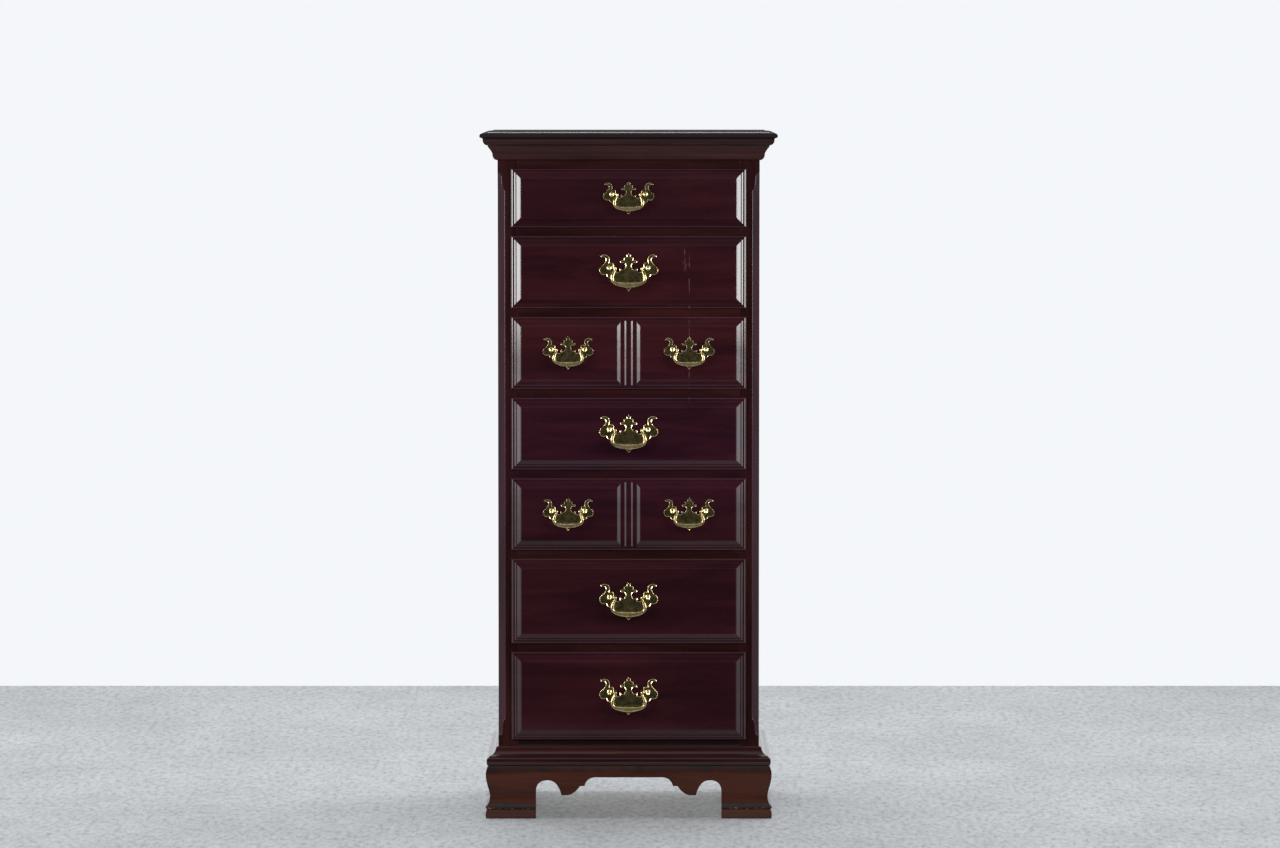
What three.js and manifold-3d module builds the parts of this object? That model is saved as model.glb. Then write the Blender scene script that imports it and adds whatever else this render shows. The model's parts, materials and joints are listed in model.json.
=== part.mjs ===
// A tall seven-drawer chest in the Chippendale manner, as an assembly of separate pieces.
// Millimetres, +Z up, the drawers open towards -Y, the floor is z = 0.
import * as THREE from "three";
import { mergeVertices } from "three/addons/utils/BufferGeometryUtils.js";
import Module from "manifold-3d";

const wasm = await Module();
wasm.setup();

// ---------------------------------------------------------------- driving dimensions

// Case
const CASE_WIDTH = 521;
const CASE_DEPTH = 395;
const POST_SIZE = 39;
const POST_CHAMFER = 14; // width of the corner chamfer as seen from the front
const CHAMFER_START = 57; // bare post below the chamfer, above the base moulding
const CHAMFER_END = 60; // bare post above the chamfer, below the cornice
const TONGUE_HEIGHT = 36; // run-out of the chamfer at each end
const SIDE_THICKNESS = 16;
const BACK_THICKNESS = 6;
const RAIL_OVERLAP = 4; // how far a lip covers the rail above and below it
const RUNNER_WIDTH = 45;
const BACK_RAIL_DEPTH = 30;
const DUST_PANEL_THICKNESS = 6;
const GUIDE_HEIGHT = 14;

// Base and top
const BRACKET_HEIGHT = 106;
const BRACKET_INSET = 14; // how far a bracket board reaches in under the case
const BASE_MOULDING_HEIGHT = 37;
const CORNICE_HEIGHT = 40;
const TOP_THICKNESS = 16;
const TOP_OVERHANG = 35;
const TOP_NOSE = 6.4; // how far the top board's nose stands out past the cornice
const FRONT_FOOT_WIDTH = 101; // across a foot, from its pad's outer edge to its inner edge
const REAR_FOOT_WIDTH = 88;
const PAD_HEIGHT = 19;
const BRACE_WIDTH = 50;
const BRACE_THICKNESS = 18;

// Drawers, top drawer first; a lip is the part of the front that lies over the case
const LIP_HEIGHTS = [118, 145, 145, 145, 145, 171, 178];
const SPLIT_ROWS = [3, 5]; // one drawer each, carved to look like two side by side
const SMALL_PULL_ROWS = [1, 3, 5];
const LIP_GAP = 16;
const TOP_REVEAL = 16; // rail showing between the cornice and the top lip
const BOTTOM_REVEAL = 12; // rail showing between the base moulding and the lowest lip
const LIP_OVERLAY = 13; // how far a lip covers the post beside it
const LIP_PROUD = 5;
const FIELD_PROUD = 10;
const FRONT_BLOCK_THICKNESS = 20;
const BOX_REAR_CLEARANCE = 17; // between a closed drawer box and the back panel
const BOX_WALL = 12;
const BOX_BOTTOM_THICKNESS = 5;
const BOX_BOTTOM_RISE = 10; // underside of the bottom panel above the box's lower edge
const BOTTOM_GROOVE_DEPTH = 6;
const HEAD_ROOM = 8; // between the top of a drawer side and the frame above it
const SPLIT_STILE = 13; // plain strip between the two halves of a split front
const SPLIT_GROOVE = 1.2;

// Pulls, at their large size
const SMALL_PULL_SCALE = 0.862;
const PLATE_THICKNESS = 1.8;
const PULL_POST_SPREAD = 77;
const PULL_POST_REACH = 11; // bail pivot in front of the plate
const PULL_POST_HEAD = 4.6;
const PIVOT_ABOVE_MIDDLE = 8.8; // bail pivot above the middle of the plate
const BAIL_PIN_RADIUS = 1.7;
const STUD_RADIUS = 2;
const NUT_RADIUS = 4.6;
const NUT_THICKNESS = 3.5;

// Clearances
const SIDE_CLEARANCE = 1.5; // drawer to opening, each side
const RUNNING_GAP = 0.5; // drawer box over its runners, and lip in front of the case
const GROOVE_CLEARANCE = 0.2;
const MITRE_GAP = 0.2;
const SEAT_GAP = 0.05; // plate to drawer front
const STUD_CLEARANCE = 0.4;
const PIN_CLEARANCE = 0.3;

// ---------------------------------------------------------------- outlines

// The ogee bracket boards: distances out from the case, bottom to top
const PAD_REACH = 26.7;
const OGEE_WAIST = 15.4;
const OGEE_BULGE = 25.5;
const OGEE_TOP = 19.7;

// Half spans that the apron patterns are drawn for, from a foot's inner edge to the middle
const FRONT_APRON_RUN = 118;
const SIDE_APRON_RUN = 96;

// The drawer front's section inwards from its lip's edge: distance in, distance proud of the case
const RAISED_EDGE = [
  [0, 2.2],
  [3, LIP_PROUD - 0.2],
  [6.6, LIP_PROUD],
  [10.4, LIP_PROUD + 1.4],
  [11.8, LIP_PROUD + 1.4],
  [20, FIELD_PROUD - 0.3],
  [20.4, FIELD_PROUD],
];
const LIP_FLAT_END = RAISED_EDGE[2][0];

// One half of the bat-wing plate's edge, from the top of its finial round to its lower point
const PLATE_EDGE = [
  [0, 29.5], [4, 27], [5, 21.2],
  [9.5, 20.6], [12, 14.6], [16.6, 13.4], [16.8, 9.6], [12.6, 9.8], [7.6, 7], [6.4, 1.8],
  [9.4, -2.4], [13.6, -3.6], [16.6, -0.8], [18.8, -2.6], [17.4, -5.6], [23.6, -8],
  [26.4, -1.6], [29.6, 1.6], [29, 8], [33, 11.2], [38.2, 9.6],
  [37.4, 17], [39.4, 23.6], [45, 26.4], [52, 26.4], [56.2, 24], [54.6, 21],
  [48.6, 20.6], [46, 16], [48, 10.4], [57, 1], [59, -5], [56.6, -11.2],
  [51.6, -14.4], [43, -15.6], [40.8, -19.6], [36.4, -21.2],
  [30, -28], [19, -35], [5, -40], [0, -47.1],
];

// Half of the bail, from its pin to the middle of the grip: distance inwards from the post's
// centre, height, distance in front of the pivot, radius. The grip's middle closes the list.
const BAIL_KNOTS = [
  [2.3, 0, 0, BAIL_PIN_RADIUS],
  [7, 0, 0, BAIL_PIN_RADIUS],
  [10.7, -1.4, 0.4, 2.3],
  [10.9, -6, 1, 2.5],
  [6.9, -14.5, 2.2, 2.6],
  [5.9, -22, 2.8, 2.8],
  [10.9, -29.4, 3.2, 3.1],
  [22.5, -33.6, 3.4, 3.6],
];
const GRIP_MIDDLE = [-35.2, 3.5, 4];
const BAIL_SIDES = 6;

// ---------------------------------------------------------------- derived places

const caseHalf = CASE_WIDTH / 2;
const caseFront = TOP_OVERHANG - (CASE_DEPTH + TOP_OVERHANG) / 2;
const caseBack = caseFront + CASE_DEPTH;
const openingHalf = caseHalf - POST_SIZE;
const sideInner = caseHalf - SIDE_THICKNESS;
const postBack = caseFront + POST_SIZE;
const backInner = caseBack - BACK_THICKNESS;

const baseTop = BRACKET_HEIGHT + BASE_MOULDING_HEIGHT;
const rows = stackRows();
const corniceBottom = rows[0].lipTop + TOP_REVEAL;
const corniceTop = corniceBottom + CORNICE_HEIGHT;

// Works out each row's lip and opening heights from the base moulding upwards.
function stackRows() {
  const stacked = [];
  let lipBottom = baseTop + BOTTOM_REVEAL;
  for (let row = LIP_HEIGHTS.length; row >= 1; row--) {
    const lipTop = lipBottom + LIP_HEIGHTS[row - 1];
    stacked.unshift({
      row,
      lipBottom,
      lipTop,
      openingBottom: lipBottom + RAIL_OVERLAP,
      openingTop: lipTop - RAIL_OVERLAP,
    });
    lipBottom = lipTop + LIP_GAP;
  }
  return stacked;
}

// ---------------------------------------------------------------- finishes

const finish = (color, roughness, metalness = 0) => ({ color, roughness, metalness });
const MAHOGANY = finish(0x2a0f0c, 0.28);
const BASE_MAHOGANY = finish(0x3a1a12, 0.34);
const POPLAR = finish(0xb08a5c, 0.7);
const BACK_WOOD = finish(0x7a5636, 0.75);
const BRASS = finish(0x9a8248, 0.35, 0.9);

// ---------------------------------------------------------------- solids

// Turns a closed geometry into a solid, facing out.
function solid(geometry) {
  const bare = geometry.clone();
  bare.deleteAttribute("normal");
  bare.deleteAttribute("uv");
  const merged = mergeVertices(bare, 1e-4);
  const points = merged.attributes.position.array;
  const triangles = new Uint32Array(merged.index.array);
  if (signedVolume(points, triangles) < 0) triangles.reverse();
  const mesh = new wasm.Mesh({ numProp: 3, vertProperties: points, triVerts: triangles });
  return new wasm.Manifold(mesh);
}

function signedVolume(points, triangles) {
  const [a, b, c] = [new THREE.Vector3(), new THREE.Vector3(), new THREE.Vector3()];
  let volume = 0;
  for (let i = 0; i < triangles.length; i += 3) {
    a.fromArray(points, triangles[i] * 3);
    b.fromArray(points, triangles[i + 1] * 3);
    c.fromArray(points, triangles[i + 2] * 3);
    volume += a.dot(b.cross(c)) / 6;
  }
  return volume;
}

function geometryOf(body) {
  const mesh = body.getMesh();
  const points = new Float32Array(mesh.numVert * 3);
  for (let i = 0; i < mesh.numVert; i++) {
    const start = i * mesh.numProp;
    points.set(mesh.vertProperties.subarray(start, start + 3), i * 3);
  }
  const geometry = new THREE.BufferGeometry();
  geometry.setAttribute("position", new THREE.BufferAttribute(points, 3));
  geometry.setIndex(new THREE.BufferAttribute(new Uint32Array(mesh.triVerts), 1));
  geometry.computeVertexNormals();
  return geometry;
}

const join = (...bodies) => bodies.reduce((whole, next) => whole.add(next));
const cut = (body, ...tools) => tools.reduce((rest, tool) => rest.subtract(tool), body);

// A board between two opposite corners.
function board(low, high) {
  const geometry = new THREE.BoxGeometry(1, 1, 1);
  const place = geometry.attributes.position;
  for (let i = 0; i < place.count; i++) {
    const x = place.getX(i) < 0 ? low[0] : high[0];
    const y = place.getY(i) < 0 ? low[1] : high[1];
    const z = place.getZ(i) < 0 ? low[2] : high[2];
    place.setXYZ(i, x, y, z);
  }
  return solid(geometry);
}

// Sweeps a section through numbered stations; place(u, v, station) gives each point's position.
function sweep(section, stations, curveSegments, place) {
  const geometry = new THREE.ExtrudeGeometry(section, {
    depth: stations,
    steps: stations,
    bevelEnabled: false,
    curveSegments,
  });
  const points = geometry.attributes.position;
  for (let i = 0; i < points.count; i++) {
    const at = place(points.getX(i), points.getY(i), Math.round(points.getZ(i)));
    points.setXYZ(i, at[0], at[1], at[2]);
  }
  return solid(geometry);
}

// A moulding round the front and both sides of the case, mitred at the front corners.
// Its section is drawn as (distance out from the case, height above the given level).
function mouldingRound(section, level, curveSegments) {
  const corners = [
    (out) => [-caseHalf - out, caseBack],
    (out) => [-caseHalf - out, caseFront - out],
    (out) => [caseHalf + out, caseFront - out],
    (out) => [caseHalf + out, caseBack],
  ];
  return sweep(section, corners.length - 1, curveSegments, (out, up, station) => [
    ...corners[station](out),
    level + up,
  ]);
}

function outline(points) {
  return new THREE.Shape(points.map(([x, y]) => new THREE.Vector2(x, y)));
}

// ---------------------------------------------------------------- mouldings

function corniceSection() {
  const reach = TOP_OVERHANG - TOP_NOSE;
  const section = new THREE.Shape();
  section.moveTo(0, 0);
  section.quadraticCurveTo(8.6, 1.5, 9.6, 10.5);
  section.lineTo(10, 13.5);
  section.quadraticCurveTo(11, 22, 18.7, 26.5);
  section.lineTo(18.7, 29);
  section.quadraticCurveTo(reach - 1.6, 30.5, reach, CORNICE_HEIGHT);
  section.lineTo(0, CORNICE_HEIGHT);
  return section;
}

// Distance out from the case of the top board's moulded edge, with its height on the board.
function topEdge() {
  const nose = new THREE.Path();
  nose.moveTo(TOP_OVERHANG - TOP_NOSE, 0);
  nose.lineTo(TOP_OVERHANG - TOP_NOSE, TOP_THICKNESS / 4);
  nose.quadraticCurveTo(TOP_OVERHANG, TOP_THICKNESS * 0.45, TOP_OVERHANG, TOP_THICKNESS * 0.6);
  nose.quadraticCurveTo(
    TOP_OVERHANG - 1,
    TOP_THICKNESS * 0.93,
    TOP_OVERHANG - 21,
    TOP_THICKNESS,
  );
  return nose.getPoints(4);
}

function baseMouldingSection() {
  const height = BASE_MOULDING_HEIGHT;
  const section = new THREE.Shape();
  section.moveTo(0, height);
  section.quadraticCurveTo(4.8, height - 0.5, 5, height - 5);
  section.quadraticCurveTo(8, height - 14.5, 16.5, height - 18);
  section.lineTo(18.5, height - 21);
  section.quadraticCurveTo(23.4, height - 23, 23.4, height - 30);
  section.quadraticCurveTo(23.4, 1, 19.7, 0);
  section.lineTo(0, 0);
  return section;
}

// The ogee face shared by the bracket boards, over the small pad they stand on.
function bracketSection() {
  const top = BRACKET_HEIGHT;
  const rise = top - PAD_HEIGHT;
  const section = new THREE.Shape();
  section.moveTo(-BRACKET_INSET, 0);
  section.lineTo(PAD_REACH - 2, 0);
  section.quadraticCurveTo(PAD_REACH + 1.5, PAD_HEIGHT * 0.4, OGEE_BULGE - 3, PAD_HEIGHT);
  section.quadraticCurveTo(OGEE_BULGE, PAD_HEIGHT + 2.5, OGEE_BULGE - 2.5, PAD_HEIGHT + 6);
  section.bezierCurveTo(
    OGEE_WAIST + 1,
    PAD_HEIGHT + rise * 0.13,
    OGEE_WAIST - 3,
    PAD_HEIGHT + rise * 0.27,
    OGEE_WAIST + 4,
    PAD_HEIGHT + rise * 0.5,
  );
  section.bezierCurveTo(
    OGEE_BULGE - 1,
    PAD_HEIGHT + rise * 0.68,
    OGEE_BULGE + 3,
    PAD_HEIGHT + rise * 0.86,
    OGEE_TOP,
    top,
  );
  section.lineTo(-BRACKET_INSET, top);
  return section;
}

// ---------------------------------------------------------------- case

function postChamfer(side) {
  const depth = POST_CHAMFER / Math.SQRT2;
  const low = baseTop + CHAMFER_START;
  const high = corniceBottom - CHAMFER_END;
  const reach = POST_SIZE;
  const face = new THREE.Shape();
  face.moveTo(-reach, low - TONGUE_HEIGHT);
  face.lineTo(0, low - TONGUE_HEIGHT);
  face.bezierCurveTo(
    depth,
    low - TONGUE_HEIGHT * 0.9,
    depth * 0.2,
    low - TONGUE_HEIGHT * 0.35,
    depth,
    low,
  );
  face.lineTo(depth, high);
  face.bezierCurveTo(
    depth * 0.2,
    high + TONGUE_HEIGHT * 0.35,
    depth,
    high + TONGUE_HEIGHT * 0.9,
    0,
    high + TONGUE_HEIGHT,
  );
  face.lineTo(-reach, high + TONGUE_HEIGHT);
  const spread = POST_SIZE;
  return sweep(face, 1, 6, (inward, up, station) => {
    const along = (station - 0.5) * spread;
    const x = caseHalf - (inward + along) / Math.SQRT2;
    const y = caseFront + (inward - along) / Math.SQRT2;
    return [side * x, y, up];
  });
}

function cornerPost(side) {
  const xs = [side * openingHalf, side * caseHalf].sort((a, b) => a - b);
  const post = board([xs[0], caseFront, BRACKET_HEIGHT], [xs[1], postBack, corniceTop]);
  return cut(post, postChamfer(side));
}

function sidePanel(side) {
  const xs = [side * sideInner, side * caseHalf].sort((a, b) => a - b);
  return board([xs[0], postBack, BRACKET_HEIGHT], [xs[1], caseBack, corniceTop]);
}

function topBoard() {
  const edge = topEdge();
  const across = [
    ...edge.map((p) => [caseHalf + p.x, corniceTop + p.y]),
    ...edge.map((p) => [-caseHalf - p.x, corniceTop + p.y]).reverse(),
  ];
  const frontToBack = [
    [caseBack, corniceTop],
    ...edge.map((p) => [caseFront - p.x, corniceTop + p.y]),
    [caseBack, corniceTop + TOP_THICKNESS],
  ];
  const reachX = caseHalf + 2 * TOP_OVERHANG;
  const reachY = caseFront - 2 * TOP_OVERHANG;
  const sides = sweep(outline(across), 1, 1, (x, z, end) => [x, end ? caseBack : reachY, z]);
  const front = sweep(outline(frontToBack), 1, 1, (y, z, end) => [end ? reachX : -reachX, y, z]);
  return sides.intersect(front);
}

function backPanel() {
  return board([-sideInner, backInner, BRACKET_HEIGHT], [sideInner, caseBack, corniceTop]);
}

function topRail() {
  const low = rows[0].openingTop;
  return board([-openingHalf, caseFront, low], [openingHalf, postBack, corniceTop]);
}

// A rail between two drawers with the runners, guides, back rail and dust panel behind it.
function drawerFrame(low, high, withGuides) {
  const middle = (low + high - DUST_PANEL_THICKNESS) / 2;
  const runnerInner = sideInner - RUNNER_WIDTH;
  const pieces = [
    board([-openingHalf, caseFront, low], [openingHalf, postBack, high]),
    board([-sideInner, backInner - BACK_RAIL_DEPTH, low], [sideInner, backInner, high]),
    board([-sideInner, postBack, middle], [sideInner, backInner, middle + DUST_PANEL_THICKNESS]),
    board([-sideInner, postBack, low], [-runnerInner, backInner, high]),
    board([runnerInner, postBack, low], [sideInner, backInner, high]),
  ];
  if (withGuides) {
    const top = high + GUIDE_HEIGHT;
    pieces.push(board([-sideInner, postBack, low], [-openingHalf, backInner, top]));
    pieces.push(board([openingHalf, postBack, low], [sideInner, backInner, top]));
  }
  return join(...pieces);
}

// ---------------------------------------------------------------- base

// Half of the gap below an apron, from a foot's inner edge to the apron's middle.
// Each point is (run from the foot's edge, drop from the bracket's top).
function apronGap(path, edge, middle, stepped) {
  const run = middle - edge;
  const squeeze = Math.min(1, Math.abs(run) / (stepped ? FRONT_APRON_RUN : SIDE_APRON_RUN));
  const along = Math.sign(run) * squeeze;
  const at = (distance, drop) => [edge + along * distance, BRACKET_HEIGHT - drop];
  path.lineTo(...at(0, 52));
  path.bezierCurveTo(...at(0.5, 38), ...at(8, 29), ...at(22, 29));
  path.bezierCurveTo(...at(36, 29), ...at(45, 36), ...at(51, 60));
  path.lineTo(...at(64, 60));
  if (stepped) {
    path.quadraticCurveTo(...at(78, 57), ...at(88, 41));
    path.lineTo(...at(97, 41));
    path.quadraticCurveTo(...at(101, 24), ...at(FRONT_APRON_RUN, 23));
  } else {
    path.quadraticCurveTo(...at(68, 28), ...at(SIDE_APRON_RUN, 23));
  }
}

function gapShape(lowEdge, highEdge, stepped) {
  const middle = (lowEdge + highEdge) / 2;
  const half = new THREE.Path();
  half.moveTo(lowEdge, -1);
  apronGap(half, lowEdge, middle, stepped);
  const points = half.getPoints(5);
  const mirrored = points.map((p) => new THREE.Vector2(2 * middle - p.x, p.y)).reverse();
  return new THREE.Shape([...points, ...mirrored]);
}

const footEdge = caseHalf + PAD_REACH - FRONT_FOOT_WIDTH;
const frontFootBack = caseFront - PAD_REACH + FRONT_FOOT_WIDTH;
const rearFootFront = caseBack - REAR_FOOT_WIDTH;

function frontBracket() {
  const boardRun = sweep(bracketSection(), 1, 4, (out, up, station) => {
    const side = station ? 1 : -1;
    return [side * (caseHalf + out - MITRE_GAP), caseFront - out, up];
  });
  const gap = sweep(gapShape(-footEdge, footEdge, true), 1, 1, (x, z, end) => [
    x,
    end ? caseFront + POST_SIZE : caseFront - 2 * PAD_REACH,
    z,
  ]);
  return cut(boardRun, gap);
}

function sideBracket(side) {
  const boardRun = sweep(bracketSection(), 1, 4, (out, up, station) => [
    side * (caseHalf + out),
    station ? caseBack : caseFront - out,
    up,
  ]);
  const gap = sweep(gapShape(frontFootBack, rearFootFront, false), 1, 1, (y, z, end) => [
    side * (end ? caseHalf - POST_SIZE : caseHalf + 2 * PAD_REACH),
    y,
    z,
  ]);
  return cut(boardRun, gap);
}

function rearFootBrace(side) {
  const inner = caseHalf - BRACKET_INSET - BRACE_WIDTH;
  const xs = [side * inner, side * (caseHalf - BRACKET_INSET)].sort((a, b) => a - b);
  return board([xs[0], caseBack - BRACE_THICKNESS, 0], [xs[1], caseBack, BRACKET_HEIGHT]);
}

// ---------------------------------------------------------------- drawers
// A drawer is drawn with y = 0 on the case's front face and z = 0 at its lip's lower edge.

const lipHalf = openingHalf + LIP_OVERLAY;
const boxHalf = openingHalf - SIDE_CLEARANCE;
const blockBack = FRONT_BLOCK_THICKNESS;
const boxBack = CASE_DEPTH - BACK_THICKNESS - BOX_REAR_CLEARANCE;
const splitPullOffset = (lipHalf + SPLIT_STILE / 2) / 2;

// The raised face's section across a width, as a closed outline standing on its back.
function raisedSection(low, high, split) {
  const points = RAISED_EDGE.map(([inset, proud]) => [low + inset, proud]);
  if (split) {
    const middle = (low + high) / 2;
    const lipEdge = middle - SPLIT_STILE / 2;
    const inner = RAISED_EDGE.slice(2).map(([inset, proud]) => [lipEdge - inset, proud]);
    points.push(...inner.reverse());
    points.push(...points.map(([at, proud]) => [2 * middle - at, proud]).reverse());
  } else {
    points.push(...RAISED_EDGE.map(([inset, proud]) => [high - inset, proud]).reverse());
  }
  return outline([[low, RUNNING_GAP], ...points, [high, RUNNING_GAP]]);
}

function pullsOf(row) {
  const scale = SMALL_PULL_ROWS.includes(row) ? SMALL_PULL_SCALE : 1;
  const places = SPLIT_ROWS.includes(row) ? [-splitPullOffset, splitPullOffset] : [0];
  return places.map((x) => ({ x, scale }));
}

function pivotHeight(row, scale) {
  return LIP_HEIGHTS[row - 1] / 2 + PIVOT_ABOVE_MIDDLE * scale;
}

function studHoles(row) {
  const radius = STUD_RADIUS + STUD_CLEARANCE;
  const holes = [];
  for (const { x, scale } of pullsOf(row)) {
    for (const side of [-1, 1]) {
      const hole = new THREE.CylinderGeometry(radius, radius, 2 * blockBack + 2 * FIELD_PROUD, 8);
      hole.translate(x + (side * PULL_POST_SPREAD * scale) / 2, 0, pivotHeight(row, scale));
      holes.push(solid(hole));
    }
  }
  return holes;
}

function splitGrooves(height) {
  return [-1, 1].map((side) => {
    const x = (side * SPLIT_STILE) / 2;
    const tip = LIP_PROUD - SPLIT_GROOVE;
    const notch = outline([
      [x - SPLIT_GROOVE, LIP_PROUD + 1],
      [x, tip],
      [x + SPLIT_GROOVE, LIP_PROUD + 1],
    ]);
    return sweep(notch, 1, 1, (across, proud, end) => [
      across,
      -proud,
      end ? height - LIP_FLAT_END : LIP_FLAT_END,
    ]);
  });
}

// Where the bottom panel lies, between the two lower edges of its groove.
function bottomPanelLevels() {
  const low = RAIL_OVERLAP + RUNNING_GAP + BOX_BOTTOM_RISE;
  return [low, low + BOX_BOTTOM_THICKNESS];
}

function drawerFront(row) {
  const height = LIP_HEIGHTS[row - 1];
  const split = SPLIT_ROWS.includes(row);
  const across = sweep(raisedSection(-lipHalf, lipHalf, split), 1, 1, (x, proud, end) => [
    x,
    -proud,
    end ? height : 0,
  ]);
  const upDown = sweep(raisedSection(0, height, false), 1, 1, (z, proud, end) => [
    end ? lipHalf : -lipHalf,
    -proud,
    z,
  ]);
  const block = board(
    [-boxHalf, -LIP_PROUD / 2, RAIL_OVERLAP + RUNNING_GAP],
    [boxHalf, blockBack, height - RAIL_OVERLAP - SIDE_CLEARANCE],
  );
  const [low, high] = bottomPanelLevels();
  const reach = boxHalf - BOX_WALL + BOTTOM_GROOVE_DEPTH;
  const groove = board(
    [-reach - GROOVE_CLEARANCE, blockBack - BOTTOM_GROOVE_DEPTH, low - GROOVE_CLEARANCE],
    [reach + GROOVE_CLEARANCE, blockBack + 1, high + GROOVE_CLEARANCE],
  );
  const tools = [groove, ...studHoles(row)];
  if (split) tools.push(...splitGrooves(height));
  return cut(join(across.intersect(upDown), block), ...tools);
}

function drawerBox(row) {
  const low = RAIL_OVERLAP + RUNNING_GAP;
  const top = LIP_HEIGHTS[row - 1] - RAIL_OVERLAP - HEAD_ROOM;
  const inner = boxHalf - BOX_WALL;
  const [panelLow, panelHigh] = bottomPanelLevels();
  const walls = join(
    board([-boxHalf, blockBack, low], [-inner, boxBack, top]),
    board([inner, blockBack, low], [boxHalf, boxBack, top]),
    board([-boxHalf, boxBack - BOX_WALL, low], [boxHalf, boxBack, top]),
  );
  const reach = inner + BOTTOM_GROOVE_DEPTH + GROOVE_CLEARANCE;
  const groove = board(
    [-reach, blockBack - 1, panelLow - GROOVE_CLEARANCE],
    [reach, boxBack - BOX_WALL / 2, panelHigh + GROOVE_CLEARANCE],
  );
  return cut(walls, groove);
}

function drawerBottom() {
  const reach = boxHalf - BOX_WALL + BOTTOM_GROOVE_DEPTH;
  const [low, high] = bottomPanelLevels();
  return board(
    [-reach, blockBack - BOTTOM_GROOVE_DEPTH + GROOVE_CLEARANCE, low],
    [reach, boxBack - BOX_WALL / 2 - GROOVE_CLEARANCE, high],
  );
}

// ---------------------------------------------------------------- pulls
// A pull is drawn with y = 0 on the drawer's field and its bail's pivot line at z = 0.

function plateOutline(scale) {
  const half = [];
  const right = PLATE_EDGE.map(([x, z]) => [x * scale, z * scale]);
  const left = right.slice(1, -1).map(([x, z]) => [-x, z]).reverse();
  return outline([...right, ...left]);
}

function pullPost(x) {
  const front = -PLATE_THICKNESS - PULL_POST_REACH;
  const nutFace = FIELD_PROUD + blockBack + 2 * SEAT_GAP;
  const studEnd = nutFace + NUT_THICKNESS + 2;
  const neck = PULL_POST_HEAD * 0.65;
  const turned = [
    [0, studEnd],
    [STUD_RADIUS, studEnd],
    [STUD_RADIUS, -PLATE_THICKNESS / 2],
    [PULL_POST_HEAD, -PLATE_THICKNESS / 2],
    [neck, -PLATE_THICKNESS - 3],
    [neck, front + PULL_POST_HEAD * 0.9],
    [PULL_POST_HEAD, front],
    [0, front - PULL_POST_HEAD * 0.8],
  ];
  const post = new THREE.LatheGeometry(turned.map(([r, y]) => new THREE.Vector2(r, y)), 6);
  const nut = new THREE.CylinderGeometry(NUT_RADIUS, NUT_RADIUS, NUT_THICKNESS, 6);
  nut.translate(0, nutFace + NUT_THICKNESS / 2, 0);
  const eyeRadius = BAIL_PIN_RADIUS + PIN_CLEARANCE;
  const eye = new THREE.CylinderGeometry(eyeRadius, eyeRadius, 2 * PULL_POST_HEAD, 8);
  eye.rotateZ(Math.PI / 2);
  eye.translate(-Math.sign(x) * PULL_POST_HEAD * 0.75, front, 0);
  const body = cut(join(solid(post), solid(nut)), solid(eye));
  return body.translate([x, 0, 0]);
}

function pullPlate(scale) {
  const plate = sweep(plateOutline(scale), 1, 1, (x, z, end) => [x, end ? -PLATE_THICKNESS : 0, z]);
  const reach = (PULL_POST_SPREAD * scale) / 2;
  return join(plate, pullPost(-reach), pullPost(reach));
}

function bail(scale) {
  const half = BAIL_KNOTS.map(([inwards, ...rest]) => [inwards - PULL_POST_SPREAD / 2, ...rest]);
  const mirrored = half.map(([x, ...rest]) => [-x, ...rest]).reverse();
  const knots = [...half, [0, ...GRIP_MIDDLE], ...mirrored];
  const path = new THREE.CatmullRomCurve3(
    knots.map(([x, z, forward]) => new THREE.Vector3(x, -forward, z).multiplyScalar(scale)),
    false,
    "centripetal",
  );
  const ring = Array.from({ length: BAIL_SIDES }, (_, i) => (2 * Math.PI * i) / BAIL_SIDES);
  const section = outline(ring.map((turn) => [Math.cos(turn), Math.sin(turn)]));
  const depth = new THREE.Vector3(0, 1, 0);
  const pivotY = -PLATE_THICKNESS - PULL_POST_REACH;
  const last = knots.length - 1;
  return sweep(section, last, 1, (u, v, station) => {
    const at = path.getPoint(station / last);
    const along = path.getTangent(station / last);
    const aside = new THREE.Vector3().crossVectors(along, depth).normalize();
    const radius = knots[station][3];
    at.addScaledVector(aside, u * radius).addScaledVector(depth, v * radius);
    return [at.x, at.y + pivotY, at.z];
  });
}

// ---------------------------------------------------------------- assembly

function piece(name, body, look) {
  const mesh = new THREE.Mesh(geometryOf(body), new THREE.MeshStandardMaterial(look));
  mesh.name = name;
  return mesh;
}

function buildCase() {
  const group = new THREE.Group();
  group.add(piece("top_board", topBoard(), MAHOGANY));
  group.add(piece("cornice", mouldingRound(corniceSection(), corniceBottom, 4), MAHOGANY));
  group.add(piece("top_rail", topRail(), MAHOGANY));
  group.add(piece("back_panel", backPanel(), BACK_WOOD));
  for (let i = 0; i + 1 < rows.length; i++) {
    const frame = drawerFrame(rows[i + 1].openingTop, rows[i].openingBottom, true);
    group.add(piece(`divider_frame_${i + 1}`, frame, MAHOGANY));
  }
  const lowest = rows.at(-1).openingBottom;
  const thickness = LIP_GAP + 2 * RAIL_OVERLAP;
  group.add(piece("bottom_frame", drawerFrame(lowest - thickness, lowest, true), MAHOGANY));
  const baseMoulding = mouldingRound(baseMouldingSection(), BRACKET_HEIGHT, 4);
  group.add(piece("base_moulding", baseMoulding, BASE_MAHOGANY));
  group.add(piece("front_bracket", frontBracket(), BASE_MAHOGANY));
  for (const [hand, side] of [["left", -1], ["right", 1]]) {
    group.add(piece(`side_panel_${hand}`, sidePanel(side), MAHOGANY));
    group.add(piece(`corner_post_${hand}`, cornerPost(side), MAHOGANY));
    group.add(piece(`side_bracket_${hand}`, sideBracket(side), BASE_MAHOGANY));
    group.add(piece(`rear_foot_brace_${hand}`, rearFootBrace(side), POPLAR));
  }
  return group;
}

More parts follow.
